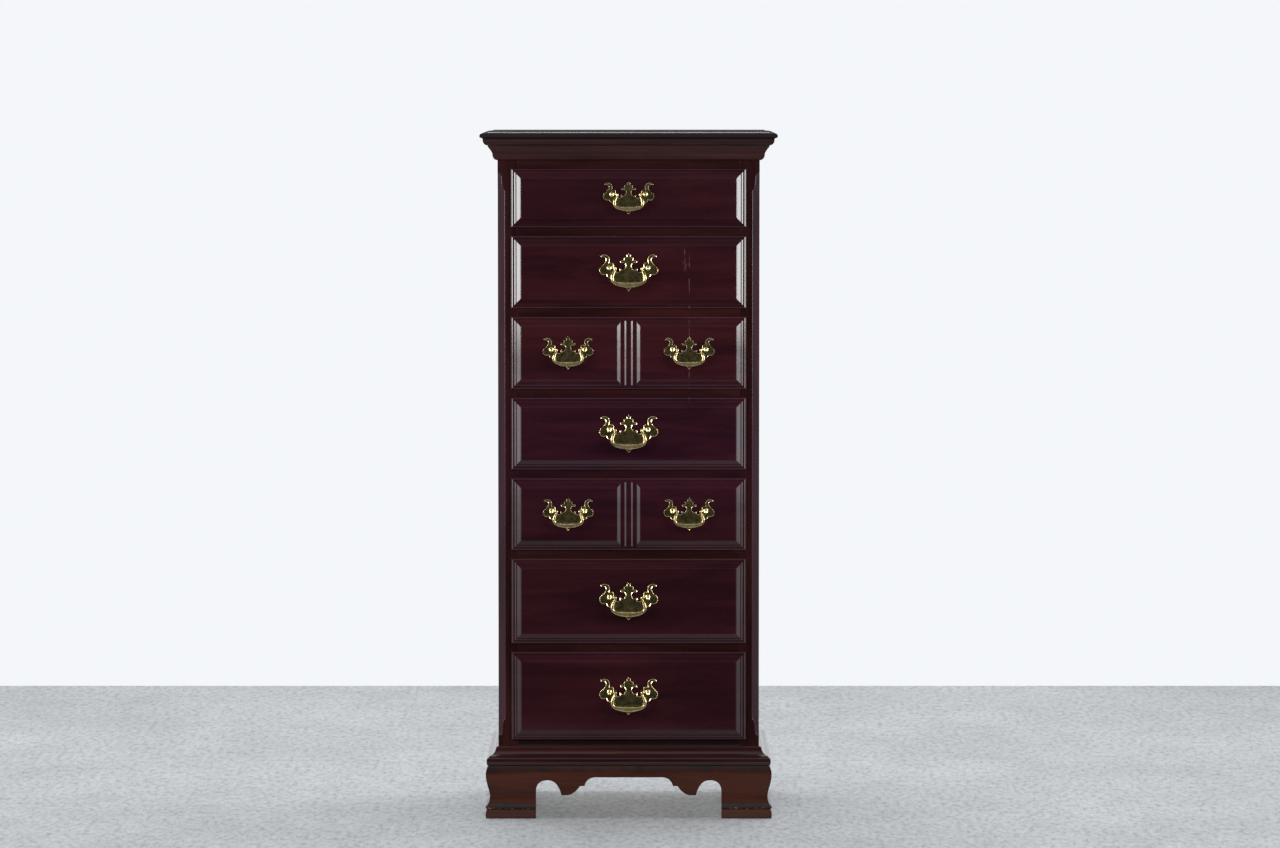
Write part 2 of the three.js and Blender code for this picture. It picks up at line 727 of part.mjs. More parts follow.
function buildDrawer({ row, lipBottom }) {
  const drawer = new THREE.Group();
  drawer.position.set(0, caseFront, lipBottom);
  drawer.add(piece(`drawer_${row}_front`, drawerFront(row), MAHOGANY));
  drawer.add(piece(`drawer_${row}_box`, drawerBox(row), POPLAR));
  drawer.add(piece(`drawer_${row}_bottom`, drawerBottom(), POPLAR));
  const pulls = pullsOf(row);
  pulls.forEach(({ x, scale }, i) => {
    const hand = pulls.length > 1 ? ["_left", "_right"][i] : "";
    const pull = new THREE.Group();
    pull.position.set(x, -FIELD_PROUD - SEAT_GAP, pivotHeight(row, scale));
    pull.add(piece(`pull_${row}${hand}_plate`, pullPlate(scale), BRASS));
    pull.add(piece(`pull_${row}${hand}_bail`, bail(scale), BRASS));
    drawer.add(pull);
  });
  return drawer;
}

const chest = new THREE.Group();
chest.add(buildCase());
rows.forEach((row) => chest.add(buildDrawer(row)));

export default chest;
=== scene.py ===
"""A tall seven-drawer mahogany chest with bat-wing brass pulls, standing in a pale studio.

Metres, +Z up, the drawers open towards -Y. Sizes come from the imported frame.
"""

import json
import math

import bmesh
import bpy
from mathutils import Matrix, Vector


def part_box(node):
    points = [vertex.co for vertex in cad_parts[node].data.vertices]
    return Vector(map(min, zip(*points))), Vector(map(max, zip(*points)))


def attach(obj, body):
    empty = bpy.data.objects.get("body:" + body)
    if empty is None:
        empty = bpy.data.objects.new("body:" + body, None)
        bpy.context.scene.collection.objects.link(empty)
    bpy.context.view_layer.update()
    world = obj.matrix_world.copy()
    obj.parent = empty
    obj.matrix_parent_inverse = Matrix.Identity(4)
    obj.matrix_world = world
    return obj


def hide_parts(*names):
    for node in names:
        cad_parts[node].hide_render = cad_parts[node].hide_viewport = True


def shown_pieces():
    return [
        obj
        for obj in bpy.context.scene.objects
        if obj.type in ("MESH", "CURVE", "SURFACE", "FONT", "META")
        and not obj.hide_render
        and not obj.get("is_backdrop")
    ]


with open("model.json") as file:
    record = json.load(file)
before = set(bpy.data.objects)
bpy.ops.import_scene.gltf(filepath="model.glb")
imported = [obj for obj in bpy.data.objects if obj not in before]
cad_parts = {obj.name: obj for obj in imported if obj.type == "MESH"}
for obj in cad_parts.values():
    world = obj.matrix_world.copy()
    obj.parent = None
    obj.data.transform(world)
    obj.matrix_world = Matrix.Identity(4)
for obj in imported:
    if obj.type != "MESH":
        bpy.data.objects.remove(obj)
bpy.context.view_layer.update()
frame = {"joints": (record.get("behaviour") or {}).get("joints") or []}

MM = 0.001
SIDES = {"left": -1, "right": 1}
ROWS = range(1, 8)
SPLIT_ROWS = (3, 5)

# ---------- places read from the frame

post_low, post_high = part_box("corner_post_right")
CASE_HALF = post_high.x
OPENING_HALF = post_low.x
CASE_FRONT = post_low.y
POST_BACK = post_high.y
panel_low, panel_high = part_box("side_panel_right")
SIDE_INNER = panel_low.x
CASE_BACK = panel_high.y
BACK_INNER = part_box("back_panel")[0].y
BRACKET_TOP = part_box("base_moulding")[0].z
BASE_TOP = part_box("base_moulding")[1].z
CORNICE_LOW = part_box("cornice")[0].z
CORNICE_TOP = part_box("cornice")[1].z
CORNICE_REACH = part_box("cornice")[1].x - CASE_HALF
TOP_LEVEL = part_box("top_board")[1].z
TOP_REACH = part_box("top_board")[1].x - CASE_HALF
BASE_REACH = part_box("base_moulding")[1].x - CASE_HALF
PAD_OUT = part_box("side_bracket_right")[1].x - CASE_HALF


# ---------- making meshes

def bend(steps, *controls):
    """Points of a curve from the first control to the last, drawn to the rest, without its first point."""
    points = []
    for i in range(1, steps + 1):
        row = controls
        while len(row) > 1:
            row = [tuple(a + (b - a) * i / steps for a, b in zip(p, q)) for p, q in zip(row, row[1:])]
        points.append(row[0])
    return points


def loft(bm, rings, closed_ends=True):
    """Skins rings that have the same number of points, and closes both ends."""
    rows = [[bm.verts.new(point) for point in ring] for ring in rings]
    count = len(rows[0])
    for low, high in zip(rows, rows[1:]):
        for i in range(count):
            j = (i + 1) % count
            bm.faces.new((low[i], low[j], high[j], high[i]))
    if closed_ends:
        bm.faces.new(rows[0])
        bm.faces.new(rows[-1])
    return rows


def board(bm, low, high, ease=0.4 * MM):
    """A board between two corners with its arrises eased."""
    made = bmesh.ops.create_cube(bm, size=1)["verts"]
    low, high = Vector(low), Vector(high)
    for vert in made:
        for axis in range(3):
            vert.co[axis] = low[axis] if vert.co[axis] < 0 else high[axis]
    edges = list({edge for vert in made for edge in vert.link_edges})
    bmesh.ops.bevel(bm, geom=edges, offset=ease, segments=2, profile=0.6, affect="EDGES")


def board_beside(bm, side, xs, ys, zs, ease=0.4 * MM):
    """A board on one side of the middle, from one distance out to another."""
    left, right = sorted(side * x for x in xs)
    board(bm, (left, ys[0], zs[0]), (right, ys[1], zs[1]), ease)


def turned(bm, outline, centre, sides):
    """A turned piece on an axis along Y; the outline lists (y, radius) and starts and ends on the axis."""
    inner = outline[1:-1]
    rings = []
    for y, radius in inner:
        ring = []
        for i in range(sides):
            turn = 2 * math.pi * i / sides
            ring.append(centre + Vector((radius * math.cos(turn), y, radius * math.sin(turn))))
        rings.append(ring)
    rows = loft(bm, rings, closed_ends=False)
    for end, row in ((outline[0], rows[0]), (outline[-1], rows[-1])):
        tip = bm.verts.new(centre + Vector((0, end[0], 0)))
        for i in range(sides):
            bm.faces.new((row[i], row[(i + 1) % sides], tip))


def mesh_from(bm, name):
    mesh = bpy.data.meshes.new(name)
    bm.to_mesh(mesh)
    bm.free()
    return mesh


def stand(name, data):
    """Puts a new object in the scene."""
    thing = bpy.data.objects.new(name, data)
    bpy.context.scene.collection.objects.link(thing)
    return thing


def finish_mesh(name, bm, materials, crease=28):
    """Makes the object: faces out, and edges that turn more than the crease angle left crisp."""
    bmesh.ops.remove_doubles(bm, verts=bm.verts, dist=0.002 * MM)
    bmesh.ops.recalc_face_normals(bm, faces=bm.faces)
    limit = math.radians(crease)
    for face in bm.faces:
        face.smooth = True
    for edge in bm.edges:
        if len(edge.link_faces) == 2:
            edge.smooth = edge.calc_face_angle(0) < limit
    name = name.replace(" ", "_")
    piece = stand(name, mesh_from(bm, name))
    for material in materials if isinstance(materials, (list, tuple)) else [materials]:
        piece.data.materials.append(material)
    return piece


def fit(name, bm, materials, body, slot, *nodes, crease=28):
    """Finishes a piece and fixes it to its body, in place of the CAD nodes named."""
    piece = finish_mesh(name, bm, materials, crease)
    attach(piece, body)
    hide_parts(*nodes)


def plank(name, low, high, ease, *place):
    """A piece that is one board."""
    bm = bmesh.new()
    board(bm, low, high, ease)
    fit(name, bm, *place)


def evaluated_mesh(source):
    """The mesh an object has once its modifiers have worked."""
    graph = bpy.context.evaluated_depsgraph_get()
    return bpy.data.meshes.new_from_object(source.evaluated_get(graph), depsgraph=graph)


def discard(*things):
    for thing in things:
        bpy.data.objects.remove(thing, do_unlink=True)


# ---------- wood and brass

class Wiring:
    """Adds nodes to a tree and links them."""

    def __init__(self, tree):
        self.tree = tree

    def node(self, kind, links=None, settings=None, **values):
        """A new node: sources for its sockets, its own settings, and plain values for its sockets."""
        node = self.tree.nodes.new(kind)
        for name, value in (settings or {}).items():
            setattr(node, name, value)
        for name, value in values.items():
            node.inputs[name.replace("_", " ")].default_value = value
        for name, source in (links or {}).items():
            self.tree.links.new(source, node.inputs[name])
        return node

    def first(self, kind, links=None, settings=None, **values):
        """The first result of a new node."""
        return self.node(kind, links, settings, **values).outputs[0]

    def feed(self, socket, given):
        """Gives a socket a plain number, a colour or another node's result."""
        if isinstance(given, (int, float)):
            socket.default_value = given
        elif isinstance(given, tuple):
            socket.default_value = (*given, 1)
        else:
            self.tree.links.new(given, socket)

    def maths(self, how, *terms):
        made = self.node("ShaderNodeMath", settings={"operation": how})
        for socket, term in zip(made.inputs, terms):
            self.feed(socket, term)
        return made.outputs[0]

    def times(self, first, second):
        return self.maths("MULTIPLY", first, second)

    def levels(self, value, low, high, to_low=0.0, to_high=1.0, how="LINEAR"):
        """Carries a value from one range to another, stopping at its ends."""
        return self.first(
            "ShaderNodeMapRange", {"Value": value}, {"interpolation_type": how},
            From_Min=low, From_Max=high, To_Min=to_low, To_Max=to_high,
        )


MIX_FACTOR, MIX_A, MIX_B, MIX_RESULT = 0, 6, 7, 2


class Surface(Wiring):
    """A procedural material whose patterns follow the object's own coordinates."""

    def __init__(self, name):
        self.material = bpy.data.materials.new(name)
        self.material.use_nodes = True
        super().__init__(self.material.node_tree)
        self.shader = self.tree.nodes["Principled BSDF"]
        self.place = self.node("ShaderNodeTexCoord").outputs["Object"]

    def stretched(self, scale, turn=(0, 0, 0)):
        return self.first("ShaderNodeMapping", {"Vector": self.place}, Scale=scale, Rotation=turn)

    def grained(self, direction, scale):
        """Coordinates that draw a pattern out nine times along the grain."""
        return self.stretched([scale * (1.0 if axis == direction else 9.0) for axis in "XYZ"])

    def along_axis(self, axis):
        return self.node("ShaderNodeSeparateXYZ", {"Vector": self.place}).outputs[axis]

    def band(self, value, low, high, soft):
        """One between two values, falling to nothing past each end."""
        rise = self.levels(value, low - soft, low)
        return self.times(rise, self.levels(value, high, high + soft, 1.0, 0.0))

    def noise(self, vector, scale, detail=3.0, rough=0.5, distortion=0.0):
        return self.first(
            "ShaderNodeTexNoise", {"Vector": vector},
            Scale=scale, Detail=detail, Roughness=rough, Distortion=distortion,
        )

    def ramp(self, value, *stops):
        ramp = self.node("ShaderNodeValToRGB", {"Fac": value})
        elements = ramp.color_ramp.elements
        while len(elements) < len(stops):
            elements.new(0.5)
        for element, (place, colour) in zip(elements, stops):
            element.position = place
            element.color = (*colour, 1)
        return ramp.outputs["Color"]

    def blend(self, factor, first, second, how="MIX"):
        mix = self.node("ShaderNodeMix", settings={"data_type": "RGBA", "blend_type": how})
        for index, given in ((MIX_FACTOR, factor), (MIX_A, first), (MIX_B, second)):
            self.feed(mix.inputs[index], given)
        return mix.outputs[MIX_RESULT]

    def bump(self, height, strength, depth):
        self.set(Normal=self.first("ShaderNodeBump", {"Height": height}, Strength=strength, Distance=depth))

    def set(self, **values):
        for name, value in values.items():
            self.feed(self.shader.inputs[name.replace("_", " ")], value)


def foot_marks_and_painted_shade(wood, colour):
    """A dark band just above the pad, painted shade in a band under the base moulding, a paler pad, and
    rubbed spots along the pad's top edge.
    """
    level = wood.along_axis("Z")
    patches = wood.levels(wood.noise(wood.stretched((1, 1, 1)), 38.0, 3.0, 0.6), 0.38, 0.6, 0.55, 0.95)
    above_pad = wood.times(wood.band(level, 21.5 * MM, 31 * MM, 4 * MM), patches)
    # Painted shade: a darker band just under the base moulding's overhang.
    painted_shade_under_moulding = wood.times(wood.band(level, 95 * MM, 106 * MM, 3 * MM), patches)
    on_pad = wood.times(wood.band(level, -5 * MM, 17.5 * MM, 1.5 * MM), 0.6)
    spots = wood.levels(wood.noise(wood.stretched((1, 1, 3)), 150.0, 3.0, 0.7), 0.58, 0.66)
    rubbed = wood.times(wood.band(level, 19.5 * MM, 22 * MM, 0.7 * MM), spots)
    colour = wood.blend(above_pad, colour, (0.0095, 0.0078, 0.0078))
    # The band under the moulding is painted shade.
    colour = wood.blend(painted_shade_under_moulding, colour, (0.0085, 0.0062, 0.0062))
    colour = wood.blend(on_pad, colour, (0.03, 0.015, 0.012))
    return wood.blend(rubbed, colour, (0.3, 0.22, 0.16))


def drip_mark(wood, colour):
    """A thin dried run down the right of the second and third rows, with scratches over it."""
    side, level = wood.along_axis("X"), wood.along_axis("Z")
    breaks = wood.levels(wood.noise(wood.stretched((1, 1, 1)), 45.0, 4.0, 0.7), 0.46, 0.58)
    run = wood.times(wood.band(side, 119.9 * MM, 120.9 * MM, 0.5 * MM), wood.band(level, 0.85, 1.11, 0.02))
    scratches = wood.times(wood.band(side, 109 * MM, 113 * MM, 3 * MM), wood.band(level, 1.09, 1.13, 0.01))
    fine = wood.levels(wood.noise(wood.stretched((6, 1, 0.6), (0, 0.2, 0)), 70.0, 2.0, 0.6), 0.54, 0.6)
    dried = (0.085, 0.05, 0.05)
    colour = wood.blend(wood.times(wood.times(run, breaks), 0.55), colour, dried)
    return wood.blend(wood.times(wood.times(scratches, fine), 0.6), colour, dried)


# Tint of the case wood by share of the height: a little warmer up high, more violet in the middle.
HEIGHT_TINT = [
    (0.4, (1.0, 1.0, 1.0)), (0.5, (1.0, 0.92, 1.32)), (0.58, (1.0, 0.95, 1.25)),
    (0.7, (1.1, 1.04, 0.95)), (0.79, (1.08, 1.02, 0.95)), (0.86, (0.86, 0.92, 0.95)),
]


def lacquered_mahogany(name, direction, dark, warm, rough=0.12, shine=0.5, marks=None):
    """Stained mahogany under satin lacquer, its grain running along one axis."""
    wood = Surface(name)
    figure = wood.noise(wood.grained(direction, 1.6), 2.4, 4.0, 0.55, 0.6)
    pores = wood.noise(wood.grained(direction, 26.0), 5.0, 2.0, 0.6)
    colour = wood.ramp(figure, (0.32, dark), (0.68, warm))
    level = wood.levels(wood.along_axis("Z"), 0.0, TOP_LEVEL)
    colour = wood.blend(1.0, colour, wood.ramp(level, *HEIGHT_TINT), "MULTIPLY")
    pore_shade = wood.ramp(pores, (0.4, (0.86, 0.84, 0.83)), (0.56, (1, 1, 1)))
    colour = wood.blend(1.0, colour, pore_shade, "MULTIPLY")
    if marks:
        colour = marks(wood, colour)
    roughness = wood.levels(figure, 0.3, 0.7, rough - 0.02, rough + 0.03)
    wood.set(Base_Color=colour, Roughness=roughness, IOR=1.5, Specular_IOR_Level=shine)
    wood.bump(pores, 0.008, 0.05 * MM)
    return wood.material


def bare_wood(name, direction, pale, deep):
    """Plain unfinished secondary wood."""
    wood = Surface(name)
    figure = wood.noise(wood.grained(direction, 2.2), 3.0, 4.0, 0.6, 0.8)
    fibres = wood.noise(wood.grained(direction, 40.0), 4.0, 2.0, 0.5)
    colour = wood.ramp(figure, (0.3, deep), (0.7, pale))
    shade = wood.ramp(fibres, (0.35, (0.78, 0.74, 0.68)), (0.6, (1, 1, 1)))
    wood.set(Base_Color=wood.blend(1.0, colour, shade, "MULTIPLY"), Roughness=0.62)
    wood.bump(fibres, 0.15, 0.08 * MM)
    return wood.material


def aged_brass(name, bright, dull, tarnish, rough, metal=1.0):
    """Cast brass, toned and rubbed: dull blotches over a brighter metal."""
    brass = Surface(name)
    blotches = brass.noise(brass.stretched((1, 1, 1)), 110.0, 4.0, 0.6, 0.4)
    specks = brass.noise(brass.stretched((1, 1, 1)), 900.0, 2.0, 0.6)
    colour = brass.ramp(blotches, (0.5 - tarnish, dull), (0.62, bright))
    shade = brass.ramp(specks, (0.32, (0.55, 0.52, 0.46)), (0.55, (1, 1, 1)))
    roughness = brass.levels(blotches, 0.35, 0.65, rough + 0.08, rough)
    colour = brass.blend(1.0, colour, shade, "MULTIPLY")
    brass.set(Base_Color=colour, Metallic=metal, Roughness=roughness)
    brass.bump(blotches, 0.25, 0.4 * MM)
    return brass.material


def each_way(axes, make, name, *look, **more):
    """The same wood with its grain along each of the axes."""
    return {axis: make(f"{name} {axis}", axis, *look, **more) for axis in axes}


case_wood = each_way(
    "XYZ", lacquered_mahogany, "case mahogany", (0.007, 0.0018, 0.0021), (0.0165, 0.0038, 0.0039)
)
drawer_wood = lacquered_mahogany(
    "drawer front mahogany", "X", (0.0095, 0.0023, 0.0037), (0.018, 0.0039, 0.0056), 0.1, marks=drip_mark
)
base_wood = each_way(
    "XY", lacquered_mahogany, "base mahogany",
    (0.017, 0.0046, 0.0026), (0.037, 0.0098, 0.0052), 0.22, 0.22, marks=foot_marks_and_painted_shade,
)
cornice_wood = each_way(
    "XY", lacquered_mahogany, "cornice mahogany",
    (0.011, 0.0038, 0.0034), (0.023, 0.0072, 0.006), 0.34, 0.22,
)
# A lighter, more violet copy of the case wood for the posts' chamfer faces: painted sheen of the side light
# on the slanted faces.
chamfer_sheen_wood = lacquered_mahogany(
    "chamfer mahogany", "Z", (0.0125, 0.0028, 0.0052), (0.0235, 0.0052, 0.009), 0.24, 0.36
)
# A darker copy of the case wood for the bottom show rail: painted shade under the lowest drawer's lip.
shaded_wood = lacquered_mahogany(
    "lowest rail mahogany", "X", (0.0035, 0.0012, 0.0016), (0.006, 0.002, 0.0025)
)
# The top's flat: rough dull lacquer, in a pale grey-violet colour that paints the sheen of the white room
# seen at a grazing angle.
dulled_top_painted_sheen = lacquered_mahogany(
    "dulled top mahogany", "X", (0.014, 0.009, 0.01), (0.021, 0.014, 0.0155), 0.7, 0.1
)
# A pale colour on the top's narrow arris: a painted highlight line.
painted_highlight_edge = lacquered_mahogany("rubbed arris", "X", (0.33, 0.27, 0.28), (0.36, 0.3, 0.31), 0.5)
dulled_edge = lacquered_mahogany(
    "dulled edge mahogany", "X", (0.005, 0.0024, 0.003), (0.008, 0.0038, 0.0046), 0.6, 0.08
)
pale_wood = each_way("XYZ", bare_wood, "poplar", (0.52, 0.36, 0.2), (0.38, 0.24, 0.12))
back_wood = bare_wood("backboard", "Z", (0.3, 0.18, 0.095), (0.19, 0.105, 0.052))
rubbed_brass = aged_brass("rubbed brass edge", (0.82, 0.7, 0.42), (0.55, 0.43, 0.22), 0.14, 0.12)
toned_brass = aged_brass("toned brass face", (0.36, 0.3, 0.14), (0.14, 0.115, 0.045), 0.12, 0.13, 0.93)
bail_brass = aged_brass("bail brass", (0.74, 0.62, 0.34), (0.42, 0.33, 0.15), 0.13, 0.13, 0.9)
iron = aged_brass("nail iron", (0.2, 0.19, 0.18), (0.07, 0.06, 0.055), 0.1, 0.5)


# ---------- rules for what repeats

class Rule(Wiring):
    """A Geometry Nodes tree with named inputs; apply() runs it on an object and gives a mesh."""

    def __init__(self, name, **inputs):
        super().__init__(bpy.data.node_groups.new(name, "GeometryNodeTree"))
        sockets = self.tree.interface.new_socket
        sockets("Geometry", in_out="INPUT", socket_type="NodeSocketGeometry")
        self.names = {}
        for label, kind in {**inputs, "Material": "Material"}.items():
            socket = sockets(label.replace("_", " "), in_out="INPUT", socket_type=f"NodeSocket{kind}")
            self.names[label] = socket.identifier
        sockets("Geometry", in_out="OUTPUT", socket_type="NodeSocketGeometry")
        self.given = self.node("NodeGroupInput").outputs
        self.result = self.node("NodeGroupOutput").inputs["Geometry"]

    def close(self, geometry):
        """Ends the tree: real geometry in the material given."""
        real = self.first("GeometryNodeRealizeInstances", {"Geometry": geometry})
        links = {"Geometry": real, "Material": self.given["Material"]}
        self.feed(self.result, self.first("GeometryNodeSetMaterial", links))
        return self

    def apply(self, mesh=None, **values):
        source = stand("rule source", mesh or bpy.data.meshes.new("seed"))
        modifier = source.modifiers.new("rule", "NODES")
        modifier.node_group = self.tree
        for label, value in values.items():
            modifier[self.names[label]] = value
        made = evaluated_mesh(source)
        discard(source)
        return made


def bail_rule():
    """A bar with a flat face and rounded arrises, as thick along its path as its attribute says."""
    rule = Rule("bail bar", Corner="Float")
    path = rule.first("GeometryNodeMeshToCurve", {"Mesh": rule.given["Geometry"]})
    thickness = rule.first(
        "GeometryNodeInputNamedAttribute", settings={"data_type": "FLOAT"}, Name="thickness"
    )
    level = rule.first("GeometryNodeSetCurveNormal", {"Curve": path}, {"mode": "Z_UP"})
    square = rule.first("GeometryNodeCurvePrimitiveQuadrilateral", Width=2.0, Height=2.0)
    links = {"Curve": square, "Radius": rule.given["Corner"]}
    rounded = rule.first("GeometryNodeFilletCurve", links, {"mode": "POLY"}, Count=5)
    links = {"Curve": level, "Profile Curve": rounded, "Scale": thickness}
    return rule.close(rule.first("GeometryNodeCurveToMesh", links, Fill_Caps=True))


def tail_rule():
    """A row of dovetails up a board's end, each wider at its far end."""
    rule = Rule("dovetail row", Count="Int", Pitch="Float", Size="Vector", Flare="Float")
    step = rule.first("ShaderNodeCombineXYZ", {"Z": rule.given["Pitch"]})
    line = rule.first("GeometryNodeMeshLine", {"Count": rule.given["Count"], "Offset": step})
    block = rule.first("GeometryNodeMeshCube", {"Size": rule.given["Size"]})
    place = rule.first("GeometryNodeInputPosition")
    parts = rule.node("ShaderNodeSeparateXYZ", {"Vector": place}).outputs
    size = rule.node("ShaderNodeSeparateXYZ", {"Vector": rule.given["Size"]}).outputs
    swell = rule.times(rule.maths("DIVIDE", parts["Y"], size["Y"]), rule.given["Flare"])
    height = rule.times(parts["Z"], rule.maths("MULTIPLY_ADD", swell, -2.0, 1.0))
    moved = rule.first("ShaderNodeCombineXYZ", {"X": parts["X"], "Y": parts["Y"], "Z": height})
    tail = rule.first("GeometryNodeSetPosition", {"Geometry": block, "Position": moved})
    return rule.close(rule.first("GeometryNodeInstanceOnPoints", {"Points": line, "Instance": tail}))


def nail_rule():
    """A straight row of round nail heads along X."""
    rule = Rule("nail row", Count="Int", Pitch="Float", Head_Radius="Float")
    step = rule.first("ShaderNodeCombineXYZ", {"X": rule.given["Pitch"]})
    line = rule.first("GeometryNodeMeshLine", {"Count": rule.given["Count"], "Offset": step})
    radius = {"Radius": rule.given["Head Radius"]}
    head = rule.first("GeometryNodeMeshUVSphere", radius, Segments=12, Rings=6)
    links = {"Points": line, "Instance": head}
    return rule.close(rule.first("GeometryNodeInstanceOnPoints", links, Scale=(1, 0.3, 1)))


def thread_rule():
    """The thread of a stud: a fine wire wound along +Z."""
    rule = Rule("stud thread", Turns="Float", Radius="Float", Length="Float")
    turns, radius, length = (rule.given[name] for name in ("Turns", "Radius", "Length"))
    links = {"Rotations": turns, "Start Radius": radius, "End Radius": radius, "Height": length}
    helix = rule.first("GeometryNodeCurveSpiral", links, Resolution=14)
    wire = rule.first("GeometryNodeCurvePrimitiveCircle", Resolution=4, Radius=0.28 * MM)
    links = {"Curve": helix, "Profile Curve": wire}
    return rule.close(rule.first("GeometryNodeCurveToMesh", links, Fill_Caps=True))


def add_mesh(bm, mesh, place=Matrix.Identity(4)):
    """Adds a mesh to a piece in the making, moved to its place."""
    mesh.transform(place)
    bm.from_mesh(mesh)
    bpy.data.meshes.remove(mesh)


BAIL_RULE = bail_rule()
TAIL_RULE = tail_rule()
NAIL_RULE = nail_rule()
THREAD_RULE = thread_rule()


# ---------- mouldings and top

def cornice_section():
    """Two hollows and a swelling, each with its fillet, from the case outwards and up."""
    mm = [(0, 0), (1.2, 0)]
    mm += bend(8, mm[-1], (9.0, 1.5), (9.8, 10.5))
    mm += [(10.0, 13.5)]
    mm += bend(10, mm[-1], (12.5, 19.5), (18.5, 26.4))
    mm += [(18.7, 29.0)]
    reach = CORNICE_REACH / MM
    top = (CORNICE_TOP - CORNICE_LOW) / MM
    mm += bend(10, mm[-1], (reach - 0.8, 31.0), (reach, top - 1.0))
    mm += [(reach, top), (0, top)]
    return [(out * MM, up * MM) for out, up in mm]


def base_section():
    """A swept hollow over a rounded nose."""
    reach = BASE_REACH / MM
    top = (BASE_TOP - BRACKET_TOP) / MM
    mm = [(0, top)]
    mm += bend(6, mm[-1], (4.8, top - 0.3), (5.0, top - 5.0))
    mm += bend(12, mm[-1], (7.6, top - 15.0), (16.5, top - 18.0))
    mm += [(18.4, top - 18.6), (18.6, top - 20.6)]
    mm += bend(8, mm[-1], (reach, top - 22.2), (reach, top - 28.5))
    mm += bend(8, mm[-1], (reach, 1.5), (19.7, 0))
    mm += [(0, 0)]
    return [(out * MM, up * MM) for out, up in mm]


def front_run(bm, section, level=0.0, short=0.0):
    """A run across the front with a mitre at each end."""
    loft(bm, [
        [(side * (CASE_HALF + out - short), CASE_FRONT - out, level + up) for out, up in section]
        for side in (-1, 1)
    ])


def side_run(bm, section, side, level=0.0):
    """A run down one side, mitred in front and square at the back."""
    mitre = [(side * (CASE_HALF + out), CASE_FRONT - out, level + up) for out, up in section]
    loft(bm, [mitre, [(x, CASE_BACK, z) for x, _, z in mitre]])


def runs_round_case(name, section, level, woods, slot, node):
    """A moulding in three runs, mitred at the front corners."""
    bm = bmesh.new()
    front_run(bm, section, level)
    fit(f"{name} front run", bm, woods["X"], "case", slot, node)
    for hand, side in SIDES.items():
        bm = bmesh.new()
        side_run(bm, section, side, level)
        fit(f"{name} {hand} run", bm, woods["Y"], "case", slot, node)


def top_board():
    """The top, with a thumbnail edge on its front and ends."""
    reach = TOP_REACH / MM
    rise = (TOP_LEVEL - CORNICE_TOP) / MM
    edge = [(reach - 6.4, 0), (reach - 6.2, 2.6), (reach - 4.0, 4.2), (reach - 1.6, 4.9)]
    edge += bend(5, edge[-1], (reach, 5.6), (reach, rise - 8.0))
    edge += bend(6, edge[-1], (reach, rise - 4.6), (reach - 3.4, rise - 3.0))
    edge += bend(6, edge[-1], (reach - 7.5, rise - 1.6), (reach - 16.8, rise - 1.3))
    step = len(edge)
    edge += [(reach - 17.2, rise - 0.4), (reach - 18.0, rise)]
    bm = bmesh.new()
    rings = []
    for out, up in edge:
        x, y, z = CASE_HALF + out * MM, CASE_FRONT - out * MM, CORNICE_TOP + up * MM
        rings.append([(-x, CASE_BACK, z), (-x, y, z), (x, y, z), (x, CASE_BACK, z)])
    rows = [[bm.verts.new(point) for point in ring] for ring in rings]
    for low, high in zip(rows, rows[1:]):
        for i in range(3):
            bm.faces.new((low[i], low[i + 1], high[i + 1], high[i]))
    bm.faces.new([row[0] for row in rows] + [row[3] for row in reversed(rows)])
    bm.faces.new(rows[0])
    bm.faces.new(rows[-1])
    arris_low, arris_high = edge[step - 1][1] * MM, edge[step][1] * MM
    for face in bm.faces:
        middle = face.calc_center_median().z - CORNICE_TOP
        # The narrow arris faces take the painted highlight; the moulded edge below takes the dulled edge
        # wood.
        if arris_low < middle < arris_high:
            face.material_index = 1
        elif middle < arris_low:
            face.material_index = 2
    fit("top board", bm, [dulled_top_painted_sheen, painted_highlight_edge, dulled_edge], "case", "case_mahogany", "top_board")


# ---------- case

CHAMFER = 14 * MM
CHAMFER_START = BASE_TOP + 57 * MM
CHAMFER_END = CORNICE_LOW - 60 * MM
TONGUE = 36 * MM
ARRIS = 0.25 * MM
SLANTED = 0.15  # a post's face with more than this towards both the front and the side is its chamfer


def chamfer_depths():
    """(height, chamfer depth) up a post: a lamb's tongue, the long flat, and a tongue again."""
    flick = [(0.0, ARRIS), *bend(20, (0.0, ARRIS), (0.1, CHAMFER), (0.65, 0.2 * CHAMFER), (1.0, CHAMFER))]
    low = [(CHAMFER_START - TONGUE + t * TONGUE, depth) for t, depth in flick]
    high = [(CHAMFER_END + TONGUE - t * TONGUE, depth) for t, depth in reversed(flick)]
    return [(BRACKET_TOP, ARRIS), *low, *high, (CORNICE_TOP, ARRIS)]


def corner_post(hand, side):
    bm = bmesh.new()
    rings = []
    for z, cut in chamfer_depths():
        soft = min(ARRIS, cut * 0.4)
        slant = soft * 0.7
        rings.append([(side * x, y, z) for x, y in (
            (OPENING_HALF, CASE_FRONT),
            (CASE_HALF - cut - soft, CASE_FRONT),
            (CASE_HALF - cut + slant, CASE_FRONT + slant),
            (CASE_HALF - slant, CASE_FRONT + cut - slant),
            (CASE_HALF, CASE_FRONT + cut + soft),
            (CASE_HALF, POST_BACK),
            (OPENING_HALF, POST_BACK),
        )])
    loft(bm, rings)
    for face in bm.faces:
        face.normal_update()
        # Chamfer faces take the painted sheen wood, the rest the case wood.
        face.material_index = int(min(abs(face.normal.x), abs(face.normal.y)) > SLANTED)
    woods = [case_wood["Z"], chamfer_sheen_wood]
    fit(f"corner post {hand}", bm, woods, "case", "case_mahogany", f"corner_post_{hand}", crease=12)


